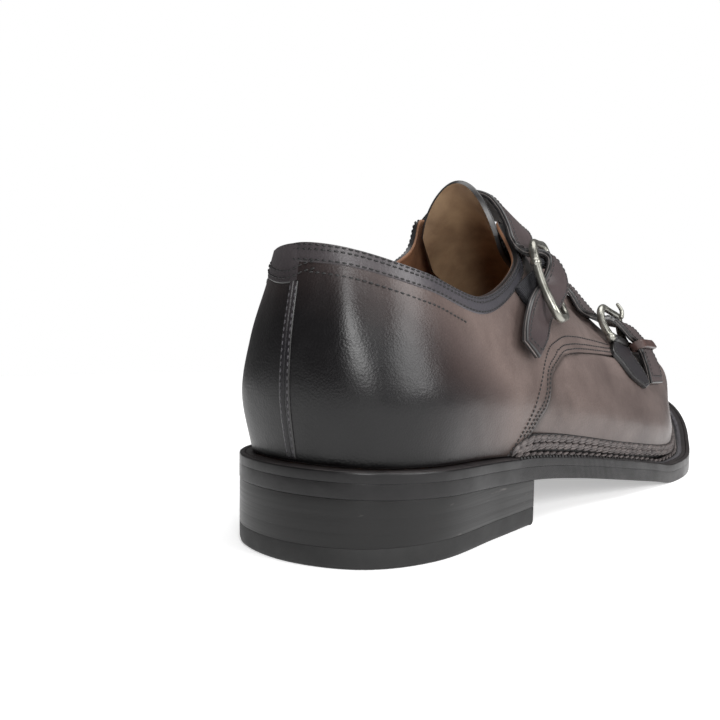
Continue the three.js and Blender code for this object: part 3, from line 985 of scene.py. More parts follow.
def carry(part: Mesh, whole: Mesh) -> None:
    """Moves a mesh into another.

    Args:
        part: The mesh that moves and is used up.
        whole: The mesh that takes it in.
    """
    carrier = bpy.data.meshes.new("carrier")
    part.to_mesh(carrier)
    part.free()
    whole.from_mesh(carrier)
    bpy.data.meshes.remove(carrier)


def gathered(parts: Sequence[Mesh]) -> Mesh:
    """Puts several meshes together as one and merges the borders that meet.

    Args:
        parts: The meshes, which are used up.

    Returns:
        The whole mesh.
    """
    whole = bmesh.new()
    for part in parts:
        carry(part, whole)
    bmesh.ops.remove_doubles(whole, verts=whole.verts, dist=WELD)
    return whole


@dataclass(frozen=True)
class Brim:
    """How a sheet's edge is cut: steps of inset, drop through the thickness, and material."""

    steps: tuple[tuple[float, float, int], ...]

    def positions(self, reach: float, cells: int) -> tuple[Array, Array, Array, Array]:
        """Spreads the cut over a row of cells.

        Args:
            reach: The sheet's size that way in millimetres.
            cells: The cells between the two cuts.

        Returns:
            The places on the upper side, those on the lower side, the drops and the materials.
        """
        inset = columns_of([step[0] for step in self.steps]) / reach
        inner = np.linspace(inset[-1], 1 - inset[-1], cells + 1)
        over = np.concatenate([inset[:-1], inner, 1 - inset[-2::-1]])
        even = np.linspace(inset[0], inset[-1], len(inset))
        under = np.concatenate([even[:-1], inner, 1 - even[-2::-1]])
        drop = columns_of([step[1] for step in self.steps])
        drops = np.concatenate([drop[:-1], np.full(cells + 1, drop[-1]), drop[-2::-1]])
        paint = [step[2] for step in self.steps[:-1]]
        return over, under, drops, np.array([*paint, *[0] * cells, *paint[::-1]])


CUT = Brim(((0.0, 1.0, 1), (0.0, 0.30, 1), (0.12, 0.10, 1), (0.40, 0.0, 0)))
LAYERED = Brim(((0.15, 1.0, 1), (0.0, 0.90, 1), (0.0, 0.60, 3), (0.1, 0.5, 3), (0.0, 0.42, 1),
                (0.0, 0.14, 1), (0.16, 0.03, 1), (0.5, 0.0, 0)))


def slab(reach: tuple[float, float], cells: tuple[int, int], brim: Brim, lifts: tuple[float, float],
         place: Callable[[Array, Array, Array], Array], ring: bool = False,
         burnish: Callable[[Array, Array], Array] | None = None) -> Mesh:
    """Makes a closed sheet with cut edges; material 0 is its face, 1 its edge, 2 its underside.

    Args:
        reach: Its size each way in millimetres.
        cells: The cells each way.
        brim: How its edges are cut.
        lifts: The lift of its face and of its underside.
        place: Gives the points of arrays of across, along and lift.
        ring: Whether it runs right round and has no edges the first way.
        burnish: Gives how dark its face is, painted shade and darker edges, at arrays of across and
            along.

    Returns:
        The mesh.
    """
    if ring:
        even = np.linspace(0, 1, cells[0] + 1)
        over_a, under_a, drop_a = even, even, np.zeros(cells[0] + 1)
        paint_a = np.zeros(cells[0], int)
    else:
        over_a, under_a, drop_a, paint_a = brim.positions(reach[0], cells[0])
    over_b, under_b, drop_b, paint_b = brim.positions(reach[1], cells[1])
    rows = len(over_b) - 1

    def fold(i: Array, j: Array) -> Array:
        """Places the upper side and, past its last row, the lower side.

        Args:
            i: Column numbers.
            j: Row numbers.

        Returns:
            The points.
        """
        back = j > rows
        k = np.where(back, 2 * rows - j, j)
        across = np.where(back, under_a[i], over_a[i])
        along = np.where(back, under_b[k], over_b[k])
        drop = np.where(back, 1.0, np.maximum(drop_a[i], drop_b[k]))
        return place(across, along, lifts[0] + (lifts[1] - lifts[0]) * drop)

    def paint(i: Array, j: Array) -> Array:
        """Colours the face, the cut edge and the underside."""
        back = j >= rows
        k = np.clip(np.where(back, 2 * rows - 1 - j, j), 0, rows - 1)
        return np.where(back, 2, np.maximum(paint_a[i], paint_b[k]))

    def darkness_at(i: Array, j: Array) -> Array:
        """Gives the darkening of the upper side: painted shade and darker edges."""
        k = np.where(j > rows, 2 * rows - j, j)
        return burnish(over_a[i], over_b[k])

    return woven(len(over_a) - 1, 2 * rows, fold, paint, darkness_at if burnish else None)


def tube(points: Array, radii: Array, closed: bool, sides: int = 14) -> Mesh:
    """Makes a round wire along points.

    Args:
        points: Its middle line.
        radii: Its radius at each point.
        closed: Whether the ends meet.
        sides: The faces round it.

    Returns:
        The mesh.
    """
    if closed:
        ways = unit(np.roll(points, -1, axis=0) - np.roll(points, 1, axis=0))
    else:
        ways = unit(np.gradient(points, axis=0))
        rings = 4
        swing = np.linspace(0, math.pi / 2, rings + 1)[:-1]
        cap, lead = np.sin(swing), 1 - np.cos(swing)
        head = points[0] - ways[0] * (radii[0] * (1 - lead))[:, None]
        tail = points[-1] + ways[-1] * (radii[-1] * (1 - lead[::-1]))[:, None]
        points = np.concatenate([head, points, tail])
        radii = np.concatenate([radii[0] * cap, radii, radii[-1] * cap[::-1]])
        ways = np.concatenate([np.repeat(ways[:1], rings, 0), ways, np.repeat(ways[-1:], rings, 0)])
    sideways = np.zeros_like(points)
    previous = unit(np.cross(ways[0], (0.3, 0.2, 0.9)))
    for k, way in enumerate(ways):
        previous = unit(previous - way * previous.dot(way))
        sideways[k] = previous
    if closed:
        points, radii = np.vstack([points, points[:1]]), np.append(radii, radii[0])
        sideways, ways = np.vstack([sideways, sideways[:1]]), np.vstack([ways, ways[:1]])
    upward = np.cross(ways, sideways)

    def place(i: Array, j: Array) -> Array:
        """Places the points of each ring."""
        angle = (i * 2 * math.pi / sides)[:, None]
        out = sideways[j] * np.cos(angle) + upward[j] * np.sin(angle)
        return points[j] + radii[j][:, None] * out

    return woven(sides, len(points) - 1, place)


def beads(mesh: Mesh, trail: Trail, size: tuple[float, float, float], slant: float = 0.0,
          sides: tuple[int, int] = (6, 4)) -> None:
    """Adds a long bead at each point of a trail, such as a stitch.

    Args:
        mesh: The mesh that they join.
        trail: Where they lie.
        size: Length, width and height of one.
        slant: The angle by which each turns on the surface, in radians.
        sides: The faces round one and from end to end.
    """
    batch = 24
    for start in range(0, len(trail.points), batch):
        few = bmesh.new()
        part = slice(start, start + batch)
        for spot, way, out in zip(trail.points[part], trail.ways[part], trail.normals[part]):
            normal = Vector(out)
            along = Matrix.Rotation(slant, 3, normal) @ Vector(way)
            aside = normal.cross(along).normalized()
            axes = (along * size[0] / 2, aside * size[1] / 2, normal * size[2] / 2)
            turn = Matrix(axes).transposed() * MM
            place = Matrix.Translation(Vector(spot) * MM) @ turn.to_4x4()
            bmesh.ops.create_uvsphere(few, u_segments=sides[0], v_segments=sides[1], radius=1.0,
                                      matrix=place)
        carry(few, mesh)


@dataclass
class Bench:
    """Where finished pieces are handed to the frame."""

    palette: Palette
    last: Last
    count: int = 0

    def present(self, mesh: Mesh, name: str, finishes: Sequence[Finish], slot: str,
                nodes: Sequence[str] = ()) -> None:
        """Makes a piece from a mesh.

        Args:
            mesh: Its shape.
            name: Its name.
            finishes: Its finishes by material number.
            slot: The record's material slot it belongs to; not used.
            nodes: The CAD nodes that it stands for.
        """
        bmesh.ops.recalc_face_normals(mesh, faces=mesh.faces)
        data = bpy.data.meshes.new(name)
        mesh.to_mesh(data)
        mesh.free()
        for finish in finishes:
            data.materials.append(self.palette.of(finish))
        data.shade_smooth()
        data.set_sharp_from_angle(angle=math.radians(CRISP))
        piece = bpy.data.objects.new(name, data)
        bpy.context.scene.collection.objects.link(piece)
        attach(piece, "root")
        if nodes:
            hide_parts(*nodes)
        self.count += 1
        LOG.info("%s: %d faces", name, len(data.polygons))

    def sewn(self, trails: Sequence[Trail], name: str, size: tuple[float, float, float],
             finish: Finish = Finish.THREAD, slot: str = "upper_leather") -> None:
        """Sews rows of stitches as one piece.

        Args:
            trails: The rows.
            name: The piece's name.
            size: Length, width and height of a stitch.
            finish: The thread.
            slot: The record's material slot it belongs to.
        """
        mesh = bmesh.new()
        for trail in trails:
            beads(mesh, trail, size)
        self.present(mesh, name, [finish], slot)


# ---------------------------------------------------------------- the upper


@dataclass
class Upper:
    """Vamp, quarters, collar band, back tab and their seams."""

    bench: Bench
    under: float = 1.0
    band: float = 5.9
    stitch: float = 1.9
    crease_rows: tuple[tuple[float, ...], ...] = (
        (0.022, 0.010, -0.30, 0.66, 0.16), (0.040, 0.009, 0.32, 0.68, 0.20),
        (0.060, 0.012, -0.28, 0.66, 0.18), (0.085, 0.014, 0.22, 0.60, 0.20),
        (-0.030, 0.012, -0.25, 0.62, 0.18), (-0.060, 0.014, 0.25, 0.6, 0.2),
        (0.150, 0.03, -0.25, 0.25, 0.2), (0.335, 0.03, -0.3, 0.33, 0.16),
        (-0.335, 0.03, -0.3, 0.33, 0.16), (0.37, 0.02, 0.22, 0.36, 0.14))
    facing: tuple[tuple[float, float], ...] = (
        (0.168, 0.0), (0.1762, 0.088), (0.1825, 0.175), (0.1875, 0.231), (0.1913, 0.306),
        (0.195, 0.413), (0.2038, 0.475), (0.2125, 0.513), (0.2288, 0.531), (0.2475, 0.537),
        (0.2625, 0.54), (0.28, 0.549), (0.298, 0.585), (0.3085, 0.656), (0.305, 0.72),
        (0.297, 0.86), (0.29, 1.0))
    facing_row: tuple[tuple[float, float], ...] = (
        (0.160, 0.0), (0.1675, 0.081), (0.1762, 0.213), (0.1837, 0.363), (0.1913, 0.494),
        (0.1988, 0.55), (0.21, 0.575), (0.225, 0.588), (0.2412, 0.588), (0.26, 0.588),
        (0.2863, 0.594))
    tab: tuple[tuple[float, float], ...] = (
        (-0.0463, 1.0), (-0.0563, 0.925), (-0.0487, 0.831), (-0.0287, 0.775), (-0.0137, 0.756),
        (-0.0012, 0.763), (0.005, 0.781), (0.012, 0.80), (0.02, 0.815))

    def front_turn(self, rise: Array) -> Array:
        """Returns the turn of the quarter's front edge at each rise."""
        path = drawn(self.facing, 600)
        return np.interp(rise, np.maximum.accumulate(path[:, 1]), path[:, 0])

    def creases(self, turn: Array, rise: Array) -> Array:
        """Returns soft ridges and troughs of worn leather, as a lift.

        Args:
            turn: Turns round the shoe.
            rise: Rises from foot to top line.

        Returns:
            The lifts in millimetres.
        """
        side = both_ways(turn)
        lift = np.zeros_like(rise)
        for middle, wide, high, top, tall in self.crease_rows:
            lift += high * np.exp(-((side - middle) / wide) ** 2 - ((rise - top) / tall) ** 2)
        return lift

    def shell(self) -> None:
        """Builds the vamp and lining as one closed wall."""
        last = self.bench.last
        turns, outer, rim, inner = 420, 90, 10, 50

        def place(i: Array, j: Array) -> Array:
            """Places the wall's outside, rolled rim, inside and foot.

            Args:
                i: Column numbers.
                j: Row numbers.

            Returns:
                The points.
            """
            turn = i / turns
            up = np.clip(j / outer, 0, 1)
            swing = np.clip((j - outer) / rim, 0, 1) * math.pi
            down = np.clip((j - outer - rim) / inner, 0, 1)
            rise = np.where(j <= outer, up, 1 - down)
            ahead = np.abs(both_ways(turn)) - self.front_turn(rise)
            sunk = self.under * smooth(np.clip(1 - ahead / 0.035, 0, 1))
            lift = np.where(j <= outer, self.creases(turn, rise) - sunk, -WALL)
            rolling = (j > outer) & (j < outer + rim)
            half = WALL / 2
            rolled = -half - self.under / 2 + (half - self.under / 2) * np.cos(swing)
            rise = np.where(rolling, 1.0, rise)
            spots = last.skin(turn, rise, np.where(rolling, rolled, lift))
            rolled_up = np.where(rolling, 0.9 * np.sin(swing), 0)
            spots[:, 2] += rolled_up - np.where(rise > 0.985, 0.7, 0)
            return spots

        def paint(i: Array, j: Array) -> Array:
            """Gives the inside its lining."""
            return np.where(j < outer + rim // 2, 0, 1)

        def darkness_at(i: Array, j: Array) -> Array:
            """Paints shade on the vamp beside the quarters' edge and at the foot.

            Args:
                i: Column numbers.
                j: Row numbers.

            Returns:
                How dark each is shaded.
            """
            rise = np.clip(j / outer, 0, 1)
            ahead = (np.abs(both_ways(i / turns)) - self.front_turn(rise)) / 0.0035
            # Painted shade beside the quarters' overlapping edge.
            beside = 0.9 * np.exp(-np.maximum(ahead, 0) ** 2)
            # Keeps the deeper of the painted shade beside the edge and the painted shade at the
            # foot.
            return np.maximum(beside, 0.7 * np.exp(-(rise / 0.05) ** 2))

        loop = outer + rim + inner + 1
        mesh = woven(turns, loop, lambda i, j: place(i, j % loop), paint, darkness_at)
        self.bench.present(mesh, "vamp_and_lining", [Finish.PATINA, Finish.LINING],
                           "upper_leather", ["upper"])

    def quarters(self) -> None:
        """Builds the quarters that lap over the vamp."""
        last = self.bench.last
        path = drawn(self.facing, 600)
        steps = np.linalg.norm(np.diff(path * SEAM_SCALE, axis=0), axis=1)
        reach = np.concatenate([[0], np.cumsum(steps)]) / steps.sum()

        def place(across: Array, along: Array, lift: Array) -> Array:
            """Places points between the two front edges.

            Args:
                across: Fractions across the piece.
                along: Fractions along it.
                lift: Distances off the surface.

            Returns:
                The points.
            """
            rise = np.interp(along, reach, np.maximum.accumulate(path[:, 1]))
            turn = (2 * across - 1) * np.interp(along, reach, path[:, 0])
            crease = np.where(lift > -0.5, self.creases(turn, rise), 0)
            return last.skin(turn, np.minimum(rise, 0.992), lift + crease)

        def darkness_at(across: Array, along: Array) -> Array:
            """Darkens the front edges and the facing band, and paints shade at the foot.

            Args:
                across: Fractions across the piece.
                along: Fractions along it.

            Returns:
                How dark each is made.
            """
            rise = np.interp(along, reach, np.maximum.accumulate(path[:, 1]))
            edge = np.minimum(across, 1 - across)
            cut, seam = 0.8 * np.exp(-(edge / 0.004) ** 2), 0.5 * np.exp(-(edge / 0.0135) ** 4)
            # The foot term is painted shade; the cut and seam terms darken the front edges and the
            # facing band.
            return np.maximum(np.maximum(cut, seam), 0.7 * np.exp(-(rise / 0.05) ** 2))

        mesh = slab((400.0, 110.0), (300, 130), CUT, (0.0, -self.under - 0.3), place, burnish=darkness_at)
        self.bench.present(mesh, "quarters", [Finish.PATINA, Finish.EDGE, Finish.PATINA],
                           "upper_leather")

    def collar(self) -> None:
        """Builds the band that follows the top line."""
        last = self.bench.last
        columns, rows = 360, 8
        turns = np.linspace(0, 1, columns + 1)
        depths = np.linspace(0, self.band, rows + 1)
        table = np.stack([last.below_top(turns, depth) for depth in depths])

        def place(across: Array, along: Array, lift: Array) -> Array:
            """Places points down from the top line.

            Args:
                across: Fractions across the piece.
                along: Fractions along it.
                lift: Distances off the surface.

            Returns:
                The points.
            """
            column = np.rint(across * columns).astype(int)
            low = np.minimum((along * rows).astype(int), rows - 1)
            mix = along * rows - low
            rise = table[low, column] * (1 - mix) + table[low + 1, column] * mix
            turn = turns[column]
            return last.skin(turn, np.minimum(rise, 0.99), lift + self.creases(turn, rise))

        mesh = slab((560.0, self.band), (columns, rows), CUT, (0.28, -0.6), place, ring=True)
        self.bench.present(mesh, "collar_band", [Finish.BAND] * 3, "upper_leather")

    def back_tab(self) -> None:
        """Builds the rounded tab at the top of the heel."""
        last = self.bench.last
        path = drawn(self.tab, 200)
        start, end = -0.0555, 0.02
        knots = np.linspace(-0.052, end, 60)
        below = np.interp(knots, path[40:, 0], path[40:, 1])

        def place(across: Array, along: Array, lift: Array) -> Array:
            """Places points from the top line down to the tab's rounded foot.

            Args:
                across: Fractions across the piece.
                along: Fractions along it.
                lift: Distances off the surface.

            Returns:
                The points.
            """
            turn = start + across * (end - start)
            rounded = 0.17 * np.clip((-0.040 - turn) / 0.0155, 0, 1) ** 2
            foot = np.interp(turn, knots, below) + rounded
            fade = 1.5 * smooth(np.clip((across - 0.62) / 0.3, 0, 1))
            return last.skin(turn, 0.988 - along * (0.988 - foot), lift - fade)

        mesh = slab((38.0, 14.0), (44, 20), CUT, (0.7, -0.3), place)
        self.bench.present(mesh, "back_tab", [Finish.BAND, Finish.EDGE, Finish.BAND],
                           "upper_leather")

    def back_strip(self) -> None:
        """Builds the narrow strip over the heel seam."""
        last = self.bench.last

        def place(across: Array, along: Array, lift: Array) -> Array:
            """Places points of the strip, sunk along its middle."""
            turn = (across - 0.5) * 0.0082
            groove = -0.30 * np.exp(-((across - 0.5) / 0.08) ** 2)
            return last.skin(turn, 0.012 + along * 0.76, lift + np.where(lift > 0, groove, 0))

        mesh = slab((3.6, 60.0), (16, 90), CUT, (0.42, -0.4), place)
        self.bench.present(mesh, "back_strip", [Finish.BAND, Finish.EDGE, Finish.BAND],
                           "upper_leather")

    def back_seams(self) -> None:
        """Sews the strip and the tab."""
        last = self.bench.last
        rises = np.linspace(0.03, 0.75, 200)
        rows = [last.trail(np.stack([np.full(200, turn), rises], axis=1), self.stitch, 0.45)
                for turn in (-0.0028, 0.0028)]
        self.bench.sewn(rows, "back_stitches", (1.35, 0.5, 0.35), Finish.PALE_THREAD)
        path = drawn(self.tab, 200)[30:]
        rows = [last.trail(path, self.stitch, 0.8, shift) for shift in (1.5, 3.6)]
        self.bench.sewn(rows, "tab_stitches", (1.5, 0.6, 0.45))

    def seams(self) -> None:
        """Sews the collar rows and the facing rows on both sides."""
        last = self.bench.last
        rows = []
        for depth, reach in ((0.9, 0.32), (2.2, 0.32), (5.2, 0.30)):
            turns = np.linspace(-reach, reach, 700)
            path = np.stack([turns, last.below_top(turns, depth)], axis=1)
            rows.append(last.trail(path, self.stitch, 0.38))
        for low, high in ((0.012, 0.128), (-0.128, -0.045)):
            turns = np.linspace(low, high, 300)
            depth = 8.4 + np.abs(turns) * 14
            path = np.stack([turns, last.below_top(turns, depth)], axis=1)
            rows.append(last.trail(path, self.stitch, 0.1))
        self.bench.sewn(rows, "collar_stitches", (1.5, 0.62, 0.5))
        rows = []
        for side in (1, -1):
            edge = drawn(self.facing, 500)[20:385]
            for shift in (1.5, 3.3):
                rows.append(last.trail(edge * (side, 1), 1.7, 0.1, shift * side))
            rows.append(last.trail(drawn(self.facing_row, 400) * (side, 1), 1.7, 0.1))
        self.bench.sewn(rows, "facing_stitches", (1.3, 0.60, 0.5))

    def build(self) -> None:
        """Builds every piece of the upper."""
        self.shell()
        self.quarters()
        self.collar()
        self.back_tab()
        self.back_strip()
        self.back_seams()
        self.seams()


# ---------------------------------------------------------------- the bottom


@dataclass
class Outline:
    """A closed outline seen from above, paired across its middle line."""

    points: Array
    outs: Array

    @classmethod
    def of(cls, points: Array) -> "Outline":
        """Returns an outline with its outward directions."""
        way = unit(np.roll(points, -1, axis=0) - np.roll(points, 1, axis=0))
        return cls(points, np.stack([way[:, 1], -way[:, 0], np.zeros(len(way))], axis=1))

    def body(self, section: Sequence[tuple[float, float]], low: Height, high: Height,
             rows: int = 0, cap: int = 0) -> Mesh:
        """Makes a closed body whose wall follows a section.

        Args:
            section: Rows of inset and share of the height, from the underside to the top.
            low: Gives the underside's height along the foot.
            high: Gives the top's height along the foot.
            rows: How many rows of the wall, from below, have material 1; the others have 0.
            cap: The material number of the flat faces.

        Returns:
            The mesh.
        """
        count = len(self.points)
        insets = columns_of([row[0] for row in section])
        shares = columns_of([row[1] for row in section])

        def spot(index: Array, inset: Array, share: Array) -> Array:
            """Places points of the wall.

            Args:
                index: The outline's point numbers.
                inset: How far each is set in.
                share: Its share of the height.

            Returns:
                The points.
            """
            spots = self.points[index % count] - self.outs[index % count] * inset[:, None]
            base, top = low(spots[:, 1]), high(spots[:, 1])
            spots[:, 2] = base + (top - base) * share
            return spots

        def paint(i: Array, j: Array) -> Array:
            """Numbers the wall's materials."""
            return np.where(j < rows, 1, 0)

        parts = [woven(count, len(section) - 1, lambda i, j: spot(i, insets[j], shares[j]), paint)]
        steps = 12
        for end in (0, -1):
            def face(i: Array, j: Array, end: int = end) -> Array:
                """Places points of the flat face between opposite sides.

                Args:
                    i: Column numbers.
                    j: Row numbers.
                    end: The end of the section, 0 below or -1 above.

                Returns:
                    The points.
                """
                inset, share = np.full(len(i), insets[end]), np.full(len(i), shares[end])
                right, left = spot(i, inset, share), spot(count - i, inset, share)
                spots = right + (left - right) * (j / steps)[:, None]
                base, top = low(spots[:, 1]), high(spots[:, 1])
                spots[:, 2] = base + (top - base) * share
                return spots

            parts.append(woven(count // 2, steps, face, lambda i, j: np.full(len(i), cap)))
        return gathered(parts)


@dataclass
class Bottom:
    """Welt with its braid, outsole, heel and insole."""

    bench: Bench
    samples: int = 480
    braid_from: float = 0.163
    pitch: float = 4.5
    slant: float = 0.24

    def outline(self) -> Outline:
        """Returns the sole's outline."""
        turns = np.arange(self.samples) / self.samples
        return Outline.of(looped(self.bench.last.rim, turns))

    def welt(self) -> None:
        """Builds the welt with its rounded rim and groove."""
        last = self.bench.last
        section = ((1.2, 0.0), (0.05, 0.0), (0.02, 0.04), (0.0, 0.08), (0.0, 0.78), (0.10, 0.93),
                   (0.42, 1.0), (1.0, 1.0), (1.5, 0.98), (1.75, 0.86), (2.0, 0.98), (2.6, 1.0),
                   (6.0, 1.0))
        base = raised(last.tread, OUTSOLE + LAYER_GAP)
        mesh = self.outline().body(section, base, last.welt_top, 5)
        self.bench.present(mesh, "welt_strip", [Finish.WELT, Finish.SOLE_EDGE],
                           "sole_leather", ["welt"])

    def outsole(self) -> None:
        """Builds the outsole with its bevelled and wheeled edge."""
        tread = self.bench.last.tread
        section = ((4.0, 0.0), (0.16, 0.0), (0.08, 0.02), (0.03, 0.05), (0.02, 0.09), (0.005, 0.12),
                   (0.0, 0.20), (0.0, 0.97), (0.03, 1.0), (4.0, 1.0))
        mesh = self.outline().body(section, tread, raised(tread, OUTSOLE), 1, 1)
        self.bench.present(mesh, "outsole_edge", [Finish.SOLE_EDGE, Finish.TREAD],
                           "sole_leather", ["outsole"])

    def heel_outline(self) -> Outline:
        """Returns the heel's outline, with its breast hollowed a little.

        Returns:
            The outline.
        """
        last = self.bench.last
        turns = np.linspace(0, 0.4, 4001)
        edge = last.edge(turns, HEEL_INSET)
        breast = float(np.interp(HEEL_LENGTH - HEEL_REACH, edge[:, 1], turns))
        half = last.edge(np.linspace(0, breast, 90), HEEL_INSET)
        corner, opposite = half[-1], last.edge(np.array([-breast]), HEEL_INSET)[0]
        share = np.linspace(0, 0.5, 16)[1:]
        line = corner + (opposite - corner) * share[:, None]
        line[:, 1] += -2.2 * (1 - (1 - 2 * share) ** 2)
        other = last.edge(-np.linspace(0, breast, 90), HEEL_INSET)
        back = opposite + (corner - opposite) * share[:, None]
        back[:, 1] = line[:, 1]
        return Outline.of(np.concatenate([half, line, back[-2::-1], other[:0:-1]]))

    def heel(self) -> None:
        """Builds the stacked heel and its rubber top piece."""
        outline = self.heel_outline()
        joints = [(inset, middle + aside) for middle in (0.30, 0.63)
                  for inset, aside in ((0.0, -0.008), (0.010, 0.0), (0.0, 0.008))]
        section = ((2.0, 0.0), (0.05, 0.0), (0.0, 0.01), *joints,
                   (0.0, 0.985), (0.04, 1.0), (2.0, 1.0))
        top = raised(self.bench.last.tread, -LAYER_GAP)
        mesh = outline.body(section, level(TOP_PIECE + TOP_GAP), top)
        self.bench.present(mesh, "heel_lifts", [Finish.STACK], "sole_leather", ["heel_stack"])
        section = ((4.0, 0.0), (0.9, 0.0), (0.35, 0.07), (0.05, 0.25),
                   (0.0, 0.95), (0.05, 1.0), (4.0, 1.0))
        mesh = outline.body(section, level(0.0), level(TOP_PIECE))
        self.bench.present(mesh, "heel_top_piece", [Finish.RUBBER], "top_piece", ["top_piece"])

    def insole(self) -> None:
        """Builds the insole with its leather sock."""
        last = self.bench.last
        turns = np.arange(360) / 360
        feather = looped(last.lines[0], turns) - last.edge_out(turns) * (WALL + 3 * GAP)
        feather[:, 2] = 0
        section = ((0.5, 0.0), (0.0, 0.2), (0.0, 0.8), (0.6, 1.0), (2.0, 1.0))
        base = raised(last.welt_top, GAP)
        mesh = Outline.of(feather).body(section, base, raised(base, INSOLE))
        self.bench.present(mesh, "insole_sock", [Finish.SOCK], "insole_leather", ["insole"])

    def line_on_welt(self, inset: float, height: float, low: float, high: float,
                     pitch: float) -> Trail:
        """Returns an even line along the welt's top.

        Args:
            inset: Its distance in from the feather edge, negative outwards.
            height: Its height over the welt.
            low: The turn it starts at.
            high: The turn it ends at.
            pitch: The distance between its points.

        Returns:
            The trail.
        """
        last = self.bench.last
        turns = np.linspace(low, high, 900)
        outs = last.edge_out(turns)
        spots = looped(last.lines[0], turns) - outs * inset
        spots[:, 2] = last.welt_top(spots[:, 1]) + height
        return Trail.evenly(spots, unit(outs * 0.75 + (0, 0, 0.66)), pitch)

    def climb(self, turn: Array) -> Array:
        """Returns how far the plait has risen from the welt, from 0 at its ends to 1."""
        inside = np.minimum(turn - self.braid_from, 1 - self.braid_from - turn)
        share = np.clip(inside / 0.022 + 0.12, 0, 1)
        return share * (2 - share)

    def braid(self) -> None:
        """Lays the two plaited rows on the upper and the third on the welt."""
        last = self.bench.last
        mesh = bmesh.new()
        low, high = self.braid_from, 1 - self.braid_from
        for rise, lift, late in ((0.084, 0.6, 0.0), (0.048, 1.0, 0.00325)):
            turns = np.linspace(low + late, high, 900)
            climb = rise * self.climb(turns)
            for aside in (-0.55, 0.45):
                path = np.stack([turns, climb + aside * 0.0135], axis=1)
                row = last.trail(path, self.pitch, lift - 0.15 * abs(aside))
                beads(mesh, row, (5.5, 1.35, 1.5), self.slant, (8, 7))
        for aside in (-0.4, 0.4):
            row = self.line_on_welt(-1.9 + aside, 0.75 - 0.3 * aside, low, high, self.pitch)
            beads(mesh, row, (5.0, 1.0, 1.1), self.slant, (8, 7))
        self.bench.present(mesh, "welt_braid", [Finish.BRAID], "upper_leather")

    def rand(self) -> None:
        """Builds the dark strip under the plait."""
        last = self.bench.last
        low, high = self.braid_from, 1 - self.braid_from

        def place(across: Array, along: Array, lift: Array) -> Array:
            """Places points of the strip from the welt up."""
            turn = low + (high - low) * across
            return last.skin(turn, 0.108 * along * self.climb(turn), lift)

        mesh = slab((460.0, 8.0), (300, 6), CUT, (0.22, -0.8), place)
        self.bench.present(mesh, "welt_rand", [Finish.EDGE] * 3, "upper_leather")

    def marks(self) -> None:
        """Lays a row of dark beads that paint the shade of the awl holes beside the plait, and the
        stitches on the welt.
        """
        last = self.bench.last
        mesh = bmesh.new()
        # Dark beads at the awl holes: painted shade of the holes.
        holes = self.line_on_welt(-3.3, 0.1, self.braid_from, 1 - self.braid_from, 2.2)
        beads(mesh, holes, (1.3, 1.0, 0.8), 0.6)
        self.bench.present(mesh, "welt_hole_shade", [Finish.THREAD], "upper_leather")
        mesh = bmesh.new()
        spots = last.edge(np.linspace(0.27, 0.73, 900), 4.4)
        spots[:, 2] = last.welt_top(spots[:, 1]) + 0.05
        row = Trail.evenly(spots, np.tile((0.0, 0.0, 1.0), (len(spots), 1)), 2.0)
        beads(mesh, row, (2.6, 0.9, 0.7), math.pi / 2)
        self.bench.present(mesh, "welt_stitches", [Finish.PALE_THREAD], "upper_leather")

    def build(self) -> None:
        """Builds every piece of the bottom."""
        self.welt()
        self.outsole()
        self.heel()
        self.insole()
        self.braid()
        self.rand()
        self.marks()


# ---------------------------------------------------------------- straps, tabs and tongue


@dataclass
class Ribbon:
    """A flat leather or elastic piece given by its two long edges."""

    bench: Bench
    name: str
    node: str
    near: Array
    far: Array
    thickness: float
    wide: float
    long: float
    finishes: tuple[Finish, ...]
    slot: str = "upper_leather"
    brim: Brim = LAYERED
    face: float = 1.0
    crown: float = 0.0
    stitch: float = 2.0

    def place(self, across: Array, along: Array, lift: Array) -> Array:
        """Returns points across and along the ribbon, lifted off its middle."""
        a, b = threaded(self.near, along), threaded(self.far, along)
        over = self.out(along) * (lift + self.bulge(across, lift))[:, None]
        return a + (b - a) * across[:, None] + over

    def bulge(self, across: Array, lift: Array) -> Array:
        """Returns how far the face crowns between its edges."""
        return np.where(lift > 0, self.crown * (1 - (2 * across - 1) ** 4) - self.crown, 0)

    def out(self, along: Array) -> Array:
        """Returns the way out of the ribbon's face.

        Args:
            along: Fractions along the ribbon.

        Returns:
            One direction for each.
        """
        step = 4e-3
        low, high = np.clip(along - step, 0, 1), np.clip(along + step, 0, 1)
        run = (threaded(self.near, high) + threaded(self.far, high)
               - threaded(self.near, low) - threaded(self.far, low))
        across = threaded(self.far, along) - threaded(self.near, along)
        return unit(np.cross(run, across)) * self.face

    def build(self, cells: tuple[int, int]) -> None:
        """Builds the ribbon."""
        half = self.thickness / 2
        mesh = slab((self.wide, self.long), cells, self.brim, (half, -half), self.place)
        self.bench.present(mesh, self.name, self.finishes, self.slot, [self.node])

    def row(self, across: Array, along: Array) -> Trail:
        """Returns a stitch row over the ribbon's face."""
        lift = np.full(len(along), self.thickness / 2 + 0.05)
        return Trail.evenly(self.place(across, along, lift), self.out(along), self.stitch)

    def sew(self, inset: float, low: float, high: float) -> None:
        """Sews a row beside each edge and one across the tip.

        Args:
            inset: The distance from the edges.
            low: Where along the ribbon the rows start.
            high: Where they end.
        """
        share = inset / self.wide
        run, over = np.linspace(low, high, 500), np.linspace(share, 1 - share, 60)
        rows = [self.row(np.full(500, share), run), self.row(np.full(500, 1 - share), run),
                self.row(over, np.full(60, high))]
        self.bench.sewn(rows, f"{self.name}_stitches", (1.75, 0.75, 0.6))


